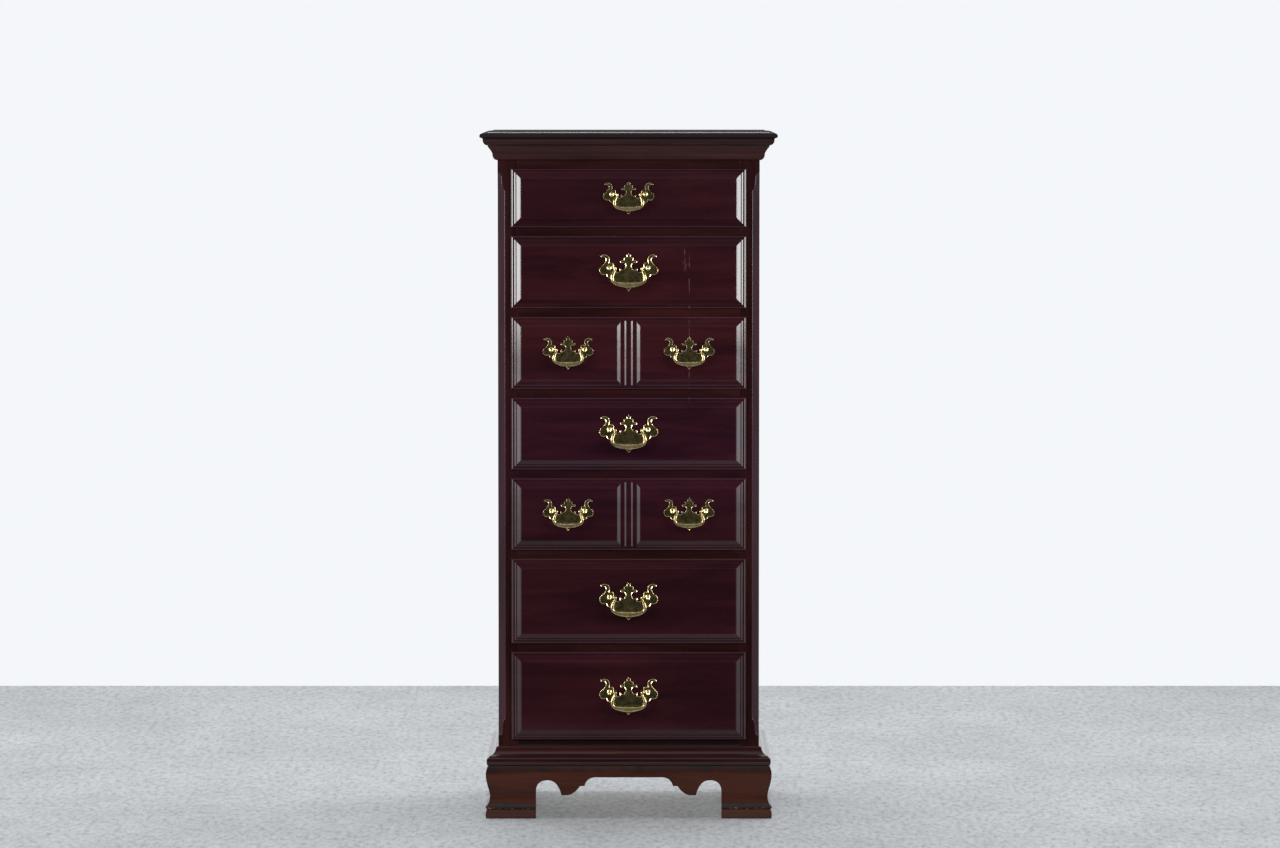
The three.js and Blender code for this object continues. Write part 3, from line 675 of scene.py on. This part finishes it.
def side_panel(hand, side):
    bm = bmesh.new()
    ys, zs = (POST_BACK, CASE_BACK), (BRACKET_TOP, CORNICE_TOP)
    board_beside(bm, side, (SIDE_INNER, CASE_HALF), ys, zs, 0.3 * MM)
    fit(f"side panel {hand}", bm, case_wood["Z"], "case", "case_mahogany", f"side_panel_{hand}")


FRAME_NODES = [f"divider_frame_{i}" for i in range(1, 7)] + ["bottom_frame"]
NAIL_LEVELS = [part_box(node)[0].z + 12 * MM for node in FRAME_NODES]
NAIL_MARGIN = 20 * MM
NAIL_SINK = 0.7 * MM
NAILS_IN_ROW = 9
BACKBOARDS = 3
BACK_JOINT = 0.5 * MM


def backboards():
    """Upright boards with a fine joint between them, nailed to the frames."""
    width = 2 * SIDE_INNER / BACKBOARDS
    for i in range(BACKBOARDS):
        low = (i * width - SIDE_INNER + BACK_JOINT, BACK_INNER, BRACKET_TOP)
        high = ((i + 1) * width - SIDE_INNER - BACK_JOINT, CASE_BACK, CORNICE_TOP)
        plank(f"backboard {i + 1}", low, high, 1 * MM, back_wood, "case", "back_wood", "back_panel")
    bm = bmesh.new()
    spacing = 2 * (SIDE_INNER - NAIL_MARGIN) / (NAILS_IN_ROW - 1)
    for z in NAIL_LEVELS:
        row = NAIL_RULE.apply(
            Count=NAILS_IN_ROW, Pitch=spacing, Head_Radius=2.2 * MM, Material=iron
        )
        add_mesh(bm, row, Matrix.Translation((-SIDE_INNER + NAIL_MARGIN, CASE_BACK - NAIL_SINK, z)))
    fit("backboard nails", bm, iron, "case", "back_wood", "back_panel")


RUNNER_WIDTH = 45 * MM
BACK_RAIL = 30 * MM
DUST_PANEL = 6 * MM
GUIDE_RISE = 14 * MM


def drawer_frame(node):
    """A show rail with runners, guides, a back rail and a dust panel behind it."""
    low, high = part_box(node)
    bottom, top = low.z, high.z - GUIDE_RISE
    ends = (-OPENING_HALF, CASE_FRONT, bottom), (OPENING_HALF, POST_BACK, top)
    # The bottom show rail takes the darker wood: painted shade.
    rail_wood = shaded_wood if node == "bottom_frame" else case_wood["X"]
    plank(f"{node} show rail", *ends, 0.35 * MM, rail_wood, "case", "case_mahogany", node)
    middle = (bottom + top - DUST_PANEL) / 2
    bm = bmesh.new()
    gap = 0.2 * MM
    inner = SIDE_INNER - RUNNER_WIDTH
    board(bm, (-inner, BACK_INNER - BACK_RAIL, bottom), (inner, BACK_INNER, top))
    board(bm, (-inner, POST_BACK, middle), (inner, BACK_INNER - BACK_RAIL, middle + DUST_PANEL), 0.1 * MM)
    fit(f"{node} dust panel and back rail", bm, pale_wood["X"], "case", "drawer_wood", node)
    bm = bmesh.new()
    ys = POST_BACK + gap, BACK_INNER
    for side in (-1, 1):
        board_beside(bm, side, (SIDE_INNER, inner + gap), ys, (bottom, top))
        board_beside(bm, side, (SIDE_INNER, OPENING_HALF), ys, (top - gap, high.z))
    fit(f"{node} runners and guides", bm, pale_wood["Y"], "case", "drawer_wood", node)


def top_rail():
    low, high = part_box("top_rail")
    plank("top rail", low, high, 0.35 * MM, case_wood["X"], "case", "case_mahogany", "top_rail")


# ---------- bracket feet

BRACKET_IN = 14 * MM
PAD_RISE = 19 * MM
FRONT_FOOT = 101 * MM
REAR_FOOT = 88 * MM
BRACE_WIDTH = 50 * MM
GLUE_BLOCK = 28 * MM
FRONT_APRON_RUN, SIDE_APRON_RUN = 118, 96  # half of each apron's pattern in mm, before it is squeezed


def bracket_section():
    """The ogee of a bracket foot over its pad, from the floor up."""
    pad, rise = PAD_RISE / MM, (BRACKET_TOP - PAD_RISE) / MM
    out = PAD_OUT / MM
    bulge, waist, top = 25.5, 16.6, 19.7
    mm = [(-BRACKET_IN / MM, 0), (out - 2.6, 0), (out - 1.6, 0.6)]
    mm += bend(8, mm[-1], (out + 1.2, pad * 0.4), (bulge - 2.2, pad - 1.2))
    mm += [(bulge - 3.4, pad - 0.4)]
    mm += bend(6, mm[-1], (bulge + 1.5, pad + 2.5), (bulge - 1.0, pad + 6.0))
    start = mm[-1]
    middle = (waist + 4, pad + rise * 0.5)
    mm += bend(16, start, (waist + 1, pad + rise * 0.13), (waist - 3, pad + rise * 0.27), middle)
    mm += bend(16, middle, (bulge - 1, pad + rise * 0.68), (bulge + 3, pad + rise * 0.86), (top, pad + rise))
    mm += [(-BRACKET_IN / MM, pad + rise)]
    return [(o * MM, up * MM) for o, up in mm]


def apron_gap(low, high, stepped):
    """The opening under an apron: feet's inner edges, arches, and a middle that rises or steps up."""
    middle = (low + high) / 2
    run = (middle - low) / MM
    squeeze = min(1.0, run / (FRONT_APRON_RUN if stepped else SIDE_APRON_RUN))
    half = [(0, 107), (0, 52)]
    half += bend(12, half[-1], (0.5, 38), (8, 29), (22, 29))
    half += bend(14, half[-1], (36, 29), (45, 36), (51, 60))
    half += [(64, 60)]
    if stepped:
        half += bend(10, half[-1], (78, 57), (88, 41))
        half += [(97, 41)]
        half += bend(10, half[-1], (101, 24), (FRONT_APRON_RUN, 23))
    else:
        half += bend(12, half[-1], (68, 28), (SIDE_APRON_RUN, 23))
    points = [(low + run_in * squeeze * MM, BRACKET_TOP - drop * MM) for run_in, drop in half]
    return points + [(2 * middle - at, z) for at, z in reversed(points)]


def carved(blank, tool):
    """Cuts the tool's shape out of a blank and gives the cut mesh as a new bmesh."""
    blank, tool = finish_mesh("blank", blank, []), finish_mesh("tool", tool, [])
    cutter = blank.modifiers.new("cut", "BOOLEAN")
    cutter.operation, cutter.solver, cutter.object = "DIFFERENCE", "EXACT", tool
    bm = bmesh.new()
    add_mesh(bm, evaluated_mesh(blank))
    discard(blank, tool)
    return bm


def front_bracket():
    edge = CASE_HALF + PAD_OUT - FRONT_FOOT
    blank, tool = bmesh.new(), bmesh.new()
    front_run(blank, bracket_section(), short=0.1 * MM)
    gap = apron_gap(-edge, edge, True)
    loft(tool, [[(x, CASE_FRONT + y, z) for x, z in gap] for y in (-60 * MM, 40 * MM)])
    bm = carved(blank, tool)
    fit("front bracket feet and apron", bm, base_wood["X"], "case", "base_mahogany", "front_bracket")


def side_bracket(hand, side):
    blank, tool = bmesh.new(), bmesh.new()
    side_run(blank, bracket_section(), side)
    gap = apron_gap(CASE_FRONT - PAD_OUT + FRONT_FOOT, CASE_BACK - REAR_FOOT, False)
    loft(tool, [[(side * (CASE_HALF + x), y, z) for y, z in gap] for x in (-40 * MM, 60 * MM)])
    name, bm = f"side bracket feet {hand}", carved(blank, tool)
    fit(name, bm, base_wood["Y"], "case", "base_mahogany", f"side_bracket_{hand}")


def foot_blocks(hand, side):
    """The rear foot's brace and the glue block behind the front foot."""
    node = f"rear_foot_brace_{hand}"
    low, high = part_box(f"rear_foot_brace_{hand}")
    inner = CASE_HALF - BRACKET_IN
    bm = bmesh.new()
    board_beside(bm, side, (inner, inner - BRACE_WIDTH), (low.y, high.y), (low.z, high.z), 0.6 * MM)
    fit(f"rear foot brace {hand}", bm, pale_wood["X"], "case", "drawer_wood", node)
    bm = bmesh.new()
    front = CASE_FRONT + BRACKET_IN
    ys, zs = (front, front + GLUE_BLOCK), (4 * MM, BRACKET_TOP - 0.3 * MM)
    board_beside(bm, side, (inner, inner - GLUE_BLOCK), ys, zs, 1.2 * MM)
    fit(f"front foot glue block {hand}", bm, pale_wood["Z"], "case", "drawer_wood", node)


# ---------- drawers

RUNNING_GAP = 0.5 * MM
BLOCK_DROP = 5.5 * MM  # the part of the front that enters the case stops this far below its lip's top
STILE_HALF = 15.7 * MM
GROOVE_AT = 6.5 * MM
GROOVE_HALF = 1.6 * MM
GROOVE_DEPTH = 0.8 * MM
GROOVE_STOP = 8.2 * MM

# The front's section inwards from its lip's edge: distance in, distance proud of the case.
LIP_SECTION = [
    (0.0, 0.8), (0.0, 1.9), (0.3, 2.6), (1.0, 3.4), (2.0, 4.1), (3.0, 4.6),
    (3.9, 4.9), (4.5, 5.0), (6.4, 5.0),
]
LIP_INSET, LIP_PROUD = LIP_SECTION[-1]
FIELD_SECTION = [
    (7.2, 5.1), (8.0, 5.4), (9.0, 5.95), (9.8, 6.25), (10.4, 6.3), (11.7, 6.3), (12.1, 6.45),
    (19.0, 9.4), (19.4, 9.5), (19.8, 9.75), (20.3, 9.94), (20.8, 10.0),
]
# The same steps where a half front meets the stile in the middle: distance in from the stile's edge.
STILE_SECTION = [0.1, 0.2, 0.4, 0.6, 0.7, 0.8, 0.9, 7.0, 7.6, 8.4, 9.4, 10.2]


def drawer_front(row):
    """A lipped front with a raised field; a split row has two fields and a grooved stile."""
    split = row in SPLIT_ROWS
    low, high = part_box(f"drawer_{row}_front")
    block_low, block_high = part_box(f"drawer_{row}_box")
    lip_half, bottom, top, back = high.x, low.z, high.z, high.y
    box_half = block_high.x
    block = (block_low.z, top - BLOCK_DROP)
    columns = []
    if split:
        grooves = [side * GROOVE_AT + d for side in (-1, 1) for d in (-GROOVE_HALF, 0, GROOVE_HALF)]
        columns = [-STILE_HALF, *grooves, STILE_HALF]

    def ring(half, z_low, z_high, y):
        lower = [(-half, y, z_low), *((x, y, z_low) for x in columns), (half, y, z_low)]
        upper = [(half, y, z_high), *((x, y, z_high) for x in reversed(columns)), (-half, y, z_high)]
        return lower + upper

    def face_ring(inset, proud):
        return ring(lip_half - inset * MM, bottom + inset * MM, top - inset * MM, CASE_FRONT - proud * MM)

    rings = [ring(box_half, *block, back), ring(box_half, *block, CASE_FRONT - RUNNING_GAP)]
    rings += [face_ring(0.4, RUNNING_GAP / MM), *(face_ring(*step) for step in LIP_SECTION)]
    bm = bmesh.new()
    if split:
        rows = loft(bm, rings, closed_ends=False)
        bm.faces.new(rows[0])
        zs = bottom + LIP_INSET * MM, top - LIP_INSET * MM
        for side in (-1, 1):
            half_field(bm, side, lip_half - LIP_INSET * MM, zs)
        stile(bm, columns, zs, CASE_FRONT - LIP_PROUD * MM)
    else:
        loft(bm, rings + [face_ring(*step) for step in FIELD_SECTION])
    slot, node = "drawer_mahogany", f"drawer_{row}_front"
    fit(f"drawer {row} front", bm, drawer_wood, f"drawer_{row}", slot, node, crease=9)


def half_field(bm, side, edge, zs):
    """One of the two raised fields of a split front."""
    rings = []
    steps = [(LIP_INSET, 0.0, LIP_PROUD)]
    steps += [(inset, inner, up) for (inset, up), inner in zip(FIELD_SECTION, STILE_SECTION)]
    for inset, inner, up in steps:
        further_in = (inset - LIP_INSET) * MM
        outer, inside = side * (edge - further_in), side * (STILE_HALF + inner * MM)
        y = CASE_FRONT - up * MM
        z_low, z_high = zs[0] + further_in, zs[1] - further_in
        rings.append([(outer, y, z_low), (inside, y, z_low), (inside, y, z_high), (outer, y, z_high)])
    rows = loft(bm, rings, closed_ends=False)
    bm.faces.new(rows[-1])


def stile(bm, columns, zs, y):
    """The strip between the two fields, with a V groove near each of its edges."""
    stop_low = zs[0] + GROOVE_STOP - LIP_INSET * MM
    stop_high = zs[1] - GROOVE_STOP + LIP_INSET * MM
    ramp = 0.4 * MM
    levels = [zs[0], stop_low, stop_low + ramp, stop_high - ramp, stop_high, zs[1]]
    bottoms = {2, 5}
    grid = []
    for i, x in enumerate(columns):
        column = []
        for j, z in enumerate(levels):
            sunk = GROOVE_DEPTH if i in bottoms and j in (2, 3) else 0
            column.append(bm.verts.new((x, y + sunk, z)))
        grid.append(column)
    last = len(columns) - 1
    for i in range(last):
        left, right = grid[i], grid[i + 1]
        if i == 0:
            bm.faces.new([left[0], left[-1], *reversed(right)])
        elif i == last - 1:
            bm.faces.new([*left, right[-1], right[0]])
        else:
            for j in range(len(levels) - 1):
                bm.faces.new((left[j], left[j + 1], right[j + 1], right[j]))


WALL = 12 * MM
TAIL_LENGTH = 12 * MM
TAIL_HEIGHT = 15 * MM
TAIL_SPACING = 26 * MM
PROUD_HAIR = 0.05 * MM


def drawer_box(row):
    """Sides, back and bottom, with dovetails into the front and pins at the back."""
    low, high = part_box(f"drawer_{row}_box")
    bottom_low, bottom_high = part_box(f"drawer_{row}_bottom")
    body, node = f"drawer_{row}", f"drawer_{row}_box"
    height = high.z - low.z
    tails = max(2, round(height / TAIL_SPACING))
    pitch = height / tails
    for hand, side in SIDES.items():
        bm = bmesh.new()
        board_beside(bm, side, (high.x, high.x - WALL), (low.y, high.y), (low.z, high.z), 0.5 * MM)
        row_of_tails = TAIL_RULE.apply(
            Count=tails, Pitch=pitch, Size=(WALL, TAIL_LENGTH, TAIL_HEIGHT), Flare=0.14,
            Material=pale_wood["Y"],
        )
        x = side * (high.x - WALL / 2 + PROUD_HAIR)
        add_mesh(bm, row_of_tails, Matrix.Translation((x, low.y - TAIL_LENGTH / 2, low.z + pitch / 2)))
        fit(f"{body} {hand} side", bm, pale_wood["Y"], body, "drawer_wood", node)
    bm = bmesh.new()
    inner = high.x - WALL
    board(bm, (-inner, high.y - WALL, low.z), (inner, high.y, high.z - 4 * MM), 0.5 * MM)
    for side in (-1, 1):
        pins = TAIL_RULE.apply(
            Count=tails - 1, Pitch=pitch, Size=(WALL, WALL, TAIL_HEIGHT * 0.5), Flare=0.1,
            Material=pale_wood["X"],
        )
        out = PROUD_HAIR - WALL / 2
        place = Matrix.Translation((side * (high.x + out), high.y + out, low.z + pitch))
        add_mesh(bm, pins, place @ Matrix.Rotation(side * math.pi / 2, 4, "Z"))
    fit(f"{body} back", bm, pale_wood["X"], body, "drawer_wood", node)
    place = pale_wood["X"], body, "drawer_wood", f"drawer_{row}_bottom"
    plank(f"{body} bottom", bottom_low, bottom_high, 0.3 * MM, *place)


# ---------- pulls

SMALL = 0.862
SMALL_ROWS = (1, 3, 5)
POST_SPREAD = 77 * MM
POST_REACH = 11 * MM
PLATE = 1.8 * MM
FRONT_BLOCK = 20 * MM

# Right half of the bat-wing plate's edge in millimetres, from the top of its finial round to its
# lower point. Each row is one smooth run to the next cusp, where the edge turns sharply.
FINIAL_TOP = (0, 29.5)
BAT_WING = [
    [(1.6, 27.6), (3.9, 27.2), (4.9, 25.0), (4.2, 22.4)],
    [(6.2, 22.0), (8.9, 21.4), (10.2, 18.8), (9.9, 15.6)],
    [(12.4, 15.2), (15.6, 15.2), (17.4, 12.4), (16.4, 9.6), (13.6, 9.0), (11.4, 9.8)],
    [(8.6, 8.6), (6.9, 5.4), (6.7, 2.0), (8.6, -1.6), (11.6, -3.4), (13.9, -3.4)],
    [(14.8, -1.2), (17.0, -0.5), (18.9, -2.2), (18.4, -4.8), (17.0, -5.9)],
    [(19.6, -8.0), (23.4, -7.8), (25.8, -4.8), (27.0, -0.8), (29.6, 1.6)],
    [(28.8, 5.0), (29.8, 8.8), (33.0, 11.2), (36.2, 10.9), (38.4, 9.4)],
    [(37.1, 13.2), (37.3, 18.0), (39.6, 23.4), (44.0, 26.4), (49.6, 27.0), (54.6, 25.6), (56.5, 23.2),
     (55.2, 21.0), (51.6, 21.2), (48.0, 19.8), (46.0, 16.2), (47.0, 12.0), (50.4, 7.6), (55.0, 3.4),
     (58.2, -1.0), (59.0, -5.6), (57.4, -10.4), (53.6, -13.8), (48.6, -14.6), (44.8, -13.6)],
    [(43.6, -17.0), (40.4, -20.4), (36.4, -21.2)],
    [(33.8, -24.8), (28.6, -29.2), (22.0, -33.2), (14.6, -36.2), (8.0, -38.0), (5.4, -40.2),
     (3.4, -43.6), (0, -47.1)],
]

# Half of the bail from its pin to the middle of the grip: distance from the pull's middle,
# height, distance in front of the pivot, radius.
BAIL_PATH = [
    (36.2, 0, 0, 1.6), (32.6, 0, 0, 1.6), (30.6, 0, 0, 2.0), (28.6, 0.2, 0.1, 2.4), (26.8, -0.4, 0.3, 2.7),
    (26.4, -2.6, 0.6, 2.5), (27.4, -5.6, 1.0, 2.1), (29.4, -9.4, 1.5, 2.4), (31.6, -14.4, 2.2, 2.9),
    (32.7, -19.2, 2.7, 3.1), (32.2, -24.0, 2.9, 3.0), (29.4, -27.8, 3.0, 3.0), (24.4, -30.6, 2.9, 3.4),
    (17.4, -32.2, 2.6, 4.3), (9.0, -33.3, 2.2, 5.1), (0, -33.7, 2.0, 5.5),
]


def smooth_run(points, steps):
    """Points on a smooth line through the points given, for a run between two cusps."""
    padded = [points[0], *points, points[-1]]
    run = []
    for a, b, c, d in zip(padded, padded[1:], padded[2:], padded[3:]):
        for i in range(steps):
            t = i / steps
            run.append(tuple(
                q + 0.5 * ((r - p) * t + (2 * p - 5 * q + 4 * r - s) * t * t + (3 * (q - r) - p + s) * t ** 3)
                for p, q, r, s in zip(a, b, c, d)
            ))
    return run + [points[-1]]


def plate_outline():
    """The whole edge of the large plate in millimetres, its two halves alike."""
    half, cusp = [], FINIAL_TOP
    for run in BAT_WING:
        half += smooth_run([cusp, *run], 3)[:-1]
        cusp = run[-1]
    return [Vector(point) for point in [*half, cusp, *((-x, z) for x, z in half[:0:-1])]]


RIM_HIGH = 0.55 * MM
RIM_WIDE = 1.75
FLAT = 0.97  # a plate's face that looks this squarely forward is toned, and the rest is rubbed
STUD_PAST_FRONT = 5.6


def plate_mesh(scale):
    """The cast plate with a ridge round its edge, standing on y = 0 and facing -Y."""
    outline = plate_outline()
    after = [*outline[1:], outline[0]]
    turn = 1 if sum(a.x * b.y - a.y * b.x for a, b in zip(outline, after)) > 0 else -1
    face = -PLATE + RIM_HIGH
    bm = bmesh.new()

    def corner(at, y):
        return bm.verts.new((at.x * MM * scale, y, at.y * MM * scale))

    back = [corner(at, 0) for at in outline]
    front = [corner(at, face) for at in outline]
    bm.faces.new(back)
    bm.faces.new(front)
    ridge = []
    for last, here, coming in zip([outline[-1], *outline], outline, after):
        along_edge = (coming - last).normalized()
        inward = turn * Vector((-along_edge.y, along_edge.x))
        crest, foot = here + inward * (RIM_WIDE / 2), here + inward * RIM_WIDE
        ridge.append([corner(here, face), corner(crest, -PLATE), corner(foot, face)])
    count = len(outline)
    for i in range(count):
        j = (i + 1) % count
        bm.faces.new((back[i], back[j], front[j], front[i]))
        for k in range(3):
            m = (k + 1) % 3
            bm.faces.new((ridge[i][k], ridge[i][m], ridge[j][m], ridge[j][k]))
    return mesh_from(bm, "plate")


def pull_posts(bm, pivot, scale):
    """Two turned posts with ringed heads, each with a stud through the front and a nut inside."""
    base = POST_REACH / MM
    stud_end = base + (PLATE + FRONT_BLOCK) / MM + FIELD_SECTION[-1][1] + STUD_PAST_FRONT
    nut_face = stud_end - 5.5
    post = [
        (base + 0.6, 0), (base + 0.6, 5.2), (base - 0.5, 5.3), (base - 1.3, 4.6), (base - 1.9, 3.3),
        (base - 3.0, 2.7), (4.6, 2.7), (3.6, 3.2), (2.6, 4.3), (1.0, 4.75), (-1.2, 4.75), (-2.6, 4.2),
        (-3.1, 3.4), (-2.7, 2.7), (-1.7, 2.2), (-1.2, 1.4), (-1.1, 0),
    ]
    stud = [(stud_end, 0), (stud_end, 1.5), (stud_end - 0.4, 1.8), (base, 1.8), (base, 0)]
    nut = [(y + nut_face, r) for y, r in ((3.5, 0), (3.5, 4.1), (3.1, 4.6), (0.4, 4.6), (0, 4.1), (0, 0))]
    lie_down = Matrix.Rotation(-math.pi / 2, 4, "X")
    for side in (-1, 1):
        centre = Vector((pivot.x + side * POST_SPREAD * scale / 2, pivot.y, pivot.z))
        for outline, sides in ((post, 24), (stud, 14), (nut, 6)):
            turned(bm, [(y * MM, r * MM) for y, r in outline], centre, sides)
        thread = THREAD_RULE.apply(
            Turns=6.0, Radius=1.75 * MM, Length=5 * MM, Material=bail_brass
        )
        start = Matrix.Translation(centre + Vector((0, (stud_end - 5.3) * MM, 0)))
        add_mesh(bm, thread, start @ lie_down)


def pull(row, hand, scale):
    suffix = f"{row}_{hand}" if hand else f"{row}"
    joint = next(j for j in frame["joints"] if j["name"] == f"bail_{suffix}_swing")
    pivot = Vector(joint["pos_m"])
    bm = bmesh.new()
    add_mesh(bm, plate_mesh(scale), Matrix.Translation((pivot.x, pivot.y + POST_REACH + PLATE, pivot.z)))
    for face in bm.faces:
        face.material_index = 0 if abs(face.normal.y) > FLAT else 1
    count = len(bm.faces)
    pull_posts(bm, pivot, scale)
    bm.faces.ensure_lookup_table()
    for face in bm.faces[count:]:
        face.material_index = 2
    name = f"pull {suffix} plate and posts"
    metals = [toned_brass, rubbed_brass, bail_brass]
    fit(name, bm, metals, f"drawer_{row}", "antique_brass", f"pull_{suffix}_plate", crease=22)
    bail(suffix, pivot, scale)


def bail(suffix, pivot, scale):
    """The swinging handle: a tapered bar bent round from pin to pin."""
    half = smooth_run(BAIL_PATH, 3)
    knots = [(-x, z, forward, radius) for x, z, forward, radius in half] + half[-2::-1]
    path = bpy.data.meshes.new("bail path")
    places = [Vector((x, z, forward)) * (MM * scale) for x, z, forward, _ in knots]
    path.from_pydata(places, [(i, i + 1) for i in range(len(places) - 1)], [])
    thickness = path.attributes.new("thickness", "FLOAT", "POINT")
    for entry, knot in zip(thickness.data, knots):
        entry.value = knot[3] * MM * scale
    bm = bmesh.new()
    stand_up = Matrix.Translation(pivot) @ Matrix.Rotation(math.pi / 2, 4, "X")
    add_mesh(bm, BAIL_RULE.apply(path, Corner=0.62, Material=bail_brass), stand_up)
    body, node = f"bail_{suffix}", f"pull_{suffix}_bail"
    fit(f"pull {suffix} bail", bm, bail_brass, body, "antique_brass", node, crease=40)


# ---------- room, lights and camera

FLOOR_FRONT, FLOOR_BACK, FLOOR_SIDE = -0.95, 2.08, 9.0
WALL_WHITE = (0.905, 0.925, 0.955)
ROOM_TINT = (0.95, 0.97, 1.0)
WALL_LIGHT = 0.9
CEILING_LIGHT = 0.6
SIDE_LIGHT = 0.35
ROOM_LIGHT = 0.02


def concrete():
    floor = Surface("pale floor")
    clouds = floor.noise(floor.stretched((1, 1, 1)), 1.6, 5.0, 0.6)
    patches = floor.noise(floor.stretched((1, 0.5, 1)), 9.0, 4.0, 0.65, 0.4)
    grains = floor.noise(floor.stretched((1, 0.35, 1)), 85.0, 5.0, 0.75)
    colour = floor.ramp(clouds, (0.3, (0.375, 0.395, 0.41)), (0.7, (0.455, 0.47, 0.485)))
    mottle = floor.ramp(patches, (0.35, (0.94, 0.94, 0.93)), (0.65, (1.04, 1.04, 1.04)))
    grit = [(0.36, (0.66, 0.66, 0.66)), (0.5, (0.98, 0.98, 0.98)), (0.66, (1.12, 1.12, 1.12))]
    colour = floor.blend(1.0, colour, mottle, "MULTIPLY")
    colour = floor.blend(1.0, colour, floor.ramp(grains, *grit), "MULTIPLY")
    floor.set(Base_Color=colour, Roughness=0.75)
    floor.bump(grains, 0.6, 3 * MM)
    return floor.material


def floor():
    bm = bmesh.new()
    corners = [(side * FLOOR_SIDE, y, 0) for side, y in (
        (-1, FLOOR_FRONT), (1, FLOOR_FRONT), (1, FLOOR_BACK), (-1, FLOOR_BACK),
    )]
    bm.faces.new([bm.verts.new(corner) for corner in corners])
    plane = stand("floor", mesh_from(bm, "floor"))
    plane.data.materials.append(concrete())
    plane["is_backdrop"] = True
    return plane


def studio():
    """A white room: plain white where the camera sees it, shaded by direction for all other light."""
    world = bpy.data.worlds.new("studio")
    bpy.context.scene.world = world
    world.use_nodes = True
    world.node_tree.nodes.clear()
    room = Wiring(world.node_tree)
    way = room.first("ShaderNodeTexCoord")
    parts = room.node("ShaderNodeSeparateXYZ", {"Vector": way}).outputs

    def share(along_axis, low, high, amount=1.0):
        return room.levels(along_axis, low, high, 0.0, amount, "SMOOTHSTEP")

    behind = room.times(share(parts["Y"], 0.0, 0.6, WALL_LIGHT), share(parts["Z"], -0.3, -0.1))
    sideways = share(room.maths("ABSOLUTE", parts["X"]), 0.8, 0.97)
    aside = room.times(sideways, share(parts["Z"], -0.3, -0.05, SIDE_LIGHT))
    above = share(parts["Z"], 0.6, 1.0, CEILING_LIGHT)
    strength = room.maths("ADD", room.maths("ADD", behind, above), room.maths("ADD", aside, ROOM_LIGHT))
    light = room.first("ShaderNodeBackground", {"Strength": strength}, Color=(*ROOM_TINT, 1))
    seen = room.first("ShaderNodeBackground", Color=(*WALL_WHITE, 1))
    from_camera = room.node("ShaderNodeLightPath").outputs["Is Camera Ray"]
    mix = room.first("ShaderNodeMixShader", {"Fac": from_camera, 1: light, 2: seen})
    room.node("ShaderNodeOutputWorld", {"Surface": mix})


# Each side's tall soft box stands in panels, brightest at the top: low edge, high edge, watts a square metre.
SOFT_BOX_PANELS = [(-0.4, 0.1, 3), (0.1, 0.45, 5), (0.45, 0.85, 12), (0.85, 2.6, 50)]
SOFT_BOX_PLACE = (2.15, -2.0)
SOFT_BOX_WIDTH = 1.6
FLOOR_FILL = 2.2
OVERHEAD = ((0, 0.4, 4.0), (0, 0.1, 0), 3.4, 2.2, 90)  # centre, aim, width, length, watts
CAMERA_PLACE = (0.0226, -10.7, 1.493)
CAMERA_DIP = 3.83  # degrees below level
CAMERA_LENS = 148.8  # mm, over a sensor 36 mm wide


def soft_box(name, centre, target, width, height, power):
    light = bpy.data.lights.new(name, "AREA")
    light.shape = "RECTANGLE"
    light.size, light.size_y, light.energy = width, height, power
    holder = stand(name, light)
    holder.location = centre
    holder.rotation_euler = (Vector(target) - Vector(centre)).to_track_quat("-Z", "Y").to_euler()
    holder.visible_camera = False
    return holder


def soft_boxes(plane):
    """Two tall side boxes screened from the floor, one box overhead, and a fill for the floor alone."""
    lit = bpy.data.collections.new("lit by the side boxes")
    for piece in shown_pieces():
        lit.objects.link(piece)
    x, y = SOFT_BOX_PLACE
    for hand, side in SIDES.items():
        for low, high, power in SOFT_BOX_PANELS:
            middle, height = (low + high) / 2, high - low
            centre, aim = (side * x, y, middle), (0, CASE_FRONT, middle)
            watts = power * SOFT_BOX_WIDTH * height
            box = soft_box(f"{hand} soft box {low}", centre, aim, SOFT_BOX_WIDTH, height, watts)
            box.light_linking.receiver_collection = lit
    soft_box("overhead soft box", *OVERHEAD).visible_glossy = False
    fill = stand("floor fill", bpy.data.lights.new("floor fill", "SUN"))
    fill.data.energy = FLOOR_FILL
    fill.rotation_euler = (math.radians(50), 0, 0)
    fill.visible_glossy = False
    ground = bpy.data.collections.new("lit by the floor fill")
    ground.objects.link(plane)
    fill.light_linking.receiver_collection = ground
    fill.light_linking.blocker_collection = ground


def camera():
    view = bpy.data.cameras.new("camera")
    view.lens = CAMERA_LENS
    view.sensor_width = 36
    view.clip_end = 60
    holder = stand("camera", view)
    holder.location = CAMERA_PLACE
    holder.rotation_euler = (math.radians(90 - CAMERA_DIP), 0, 0)
    bpy.context.scene.camera = holder


# ---------- building the chest

runs_round_case("cornice", cornice_section(), CORNICE_LOW, cornice_wood, "case_mahogany", "cornice")
runs_round_case("base moulding", base_section(), BRACKET_TOP, case_wood, "base_mahogany", "base_moulding")
top_board()
top_rail()
backboards()
for frame_node in FRAME_NODES:
    drawer_frame(frame_node)
front_bracket()
for which, toward in SIDES.items():
    corner_post(which, toward)
    side_panel(which, toward)
    side_bracket(which, toward)
    foot_blocks(which, toward)
for number in ROWS:
    drawer_front(number)
    drawer_box(number)
    size = SMALL if number in SMALL_ROWS else 1.0
    for which in SIDES if number in SPLIT_ROWS else ("",):
        pull(number, which, size)

plane = floor()
studio()
soft_boxes(plane)
camera()
bpy.context.scene.view_settings.view_transform = "Standard"
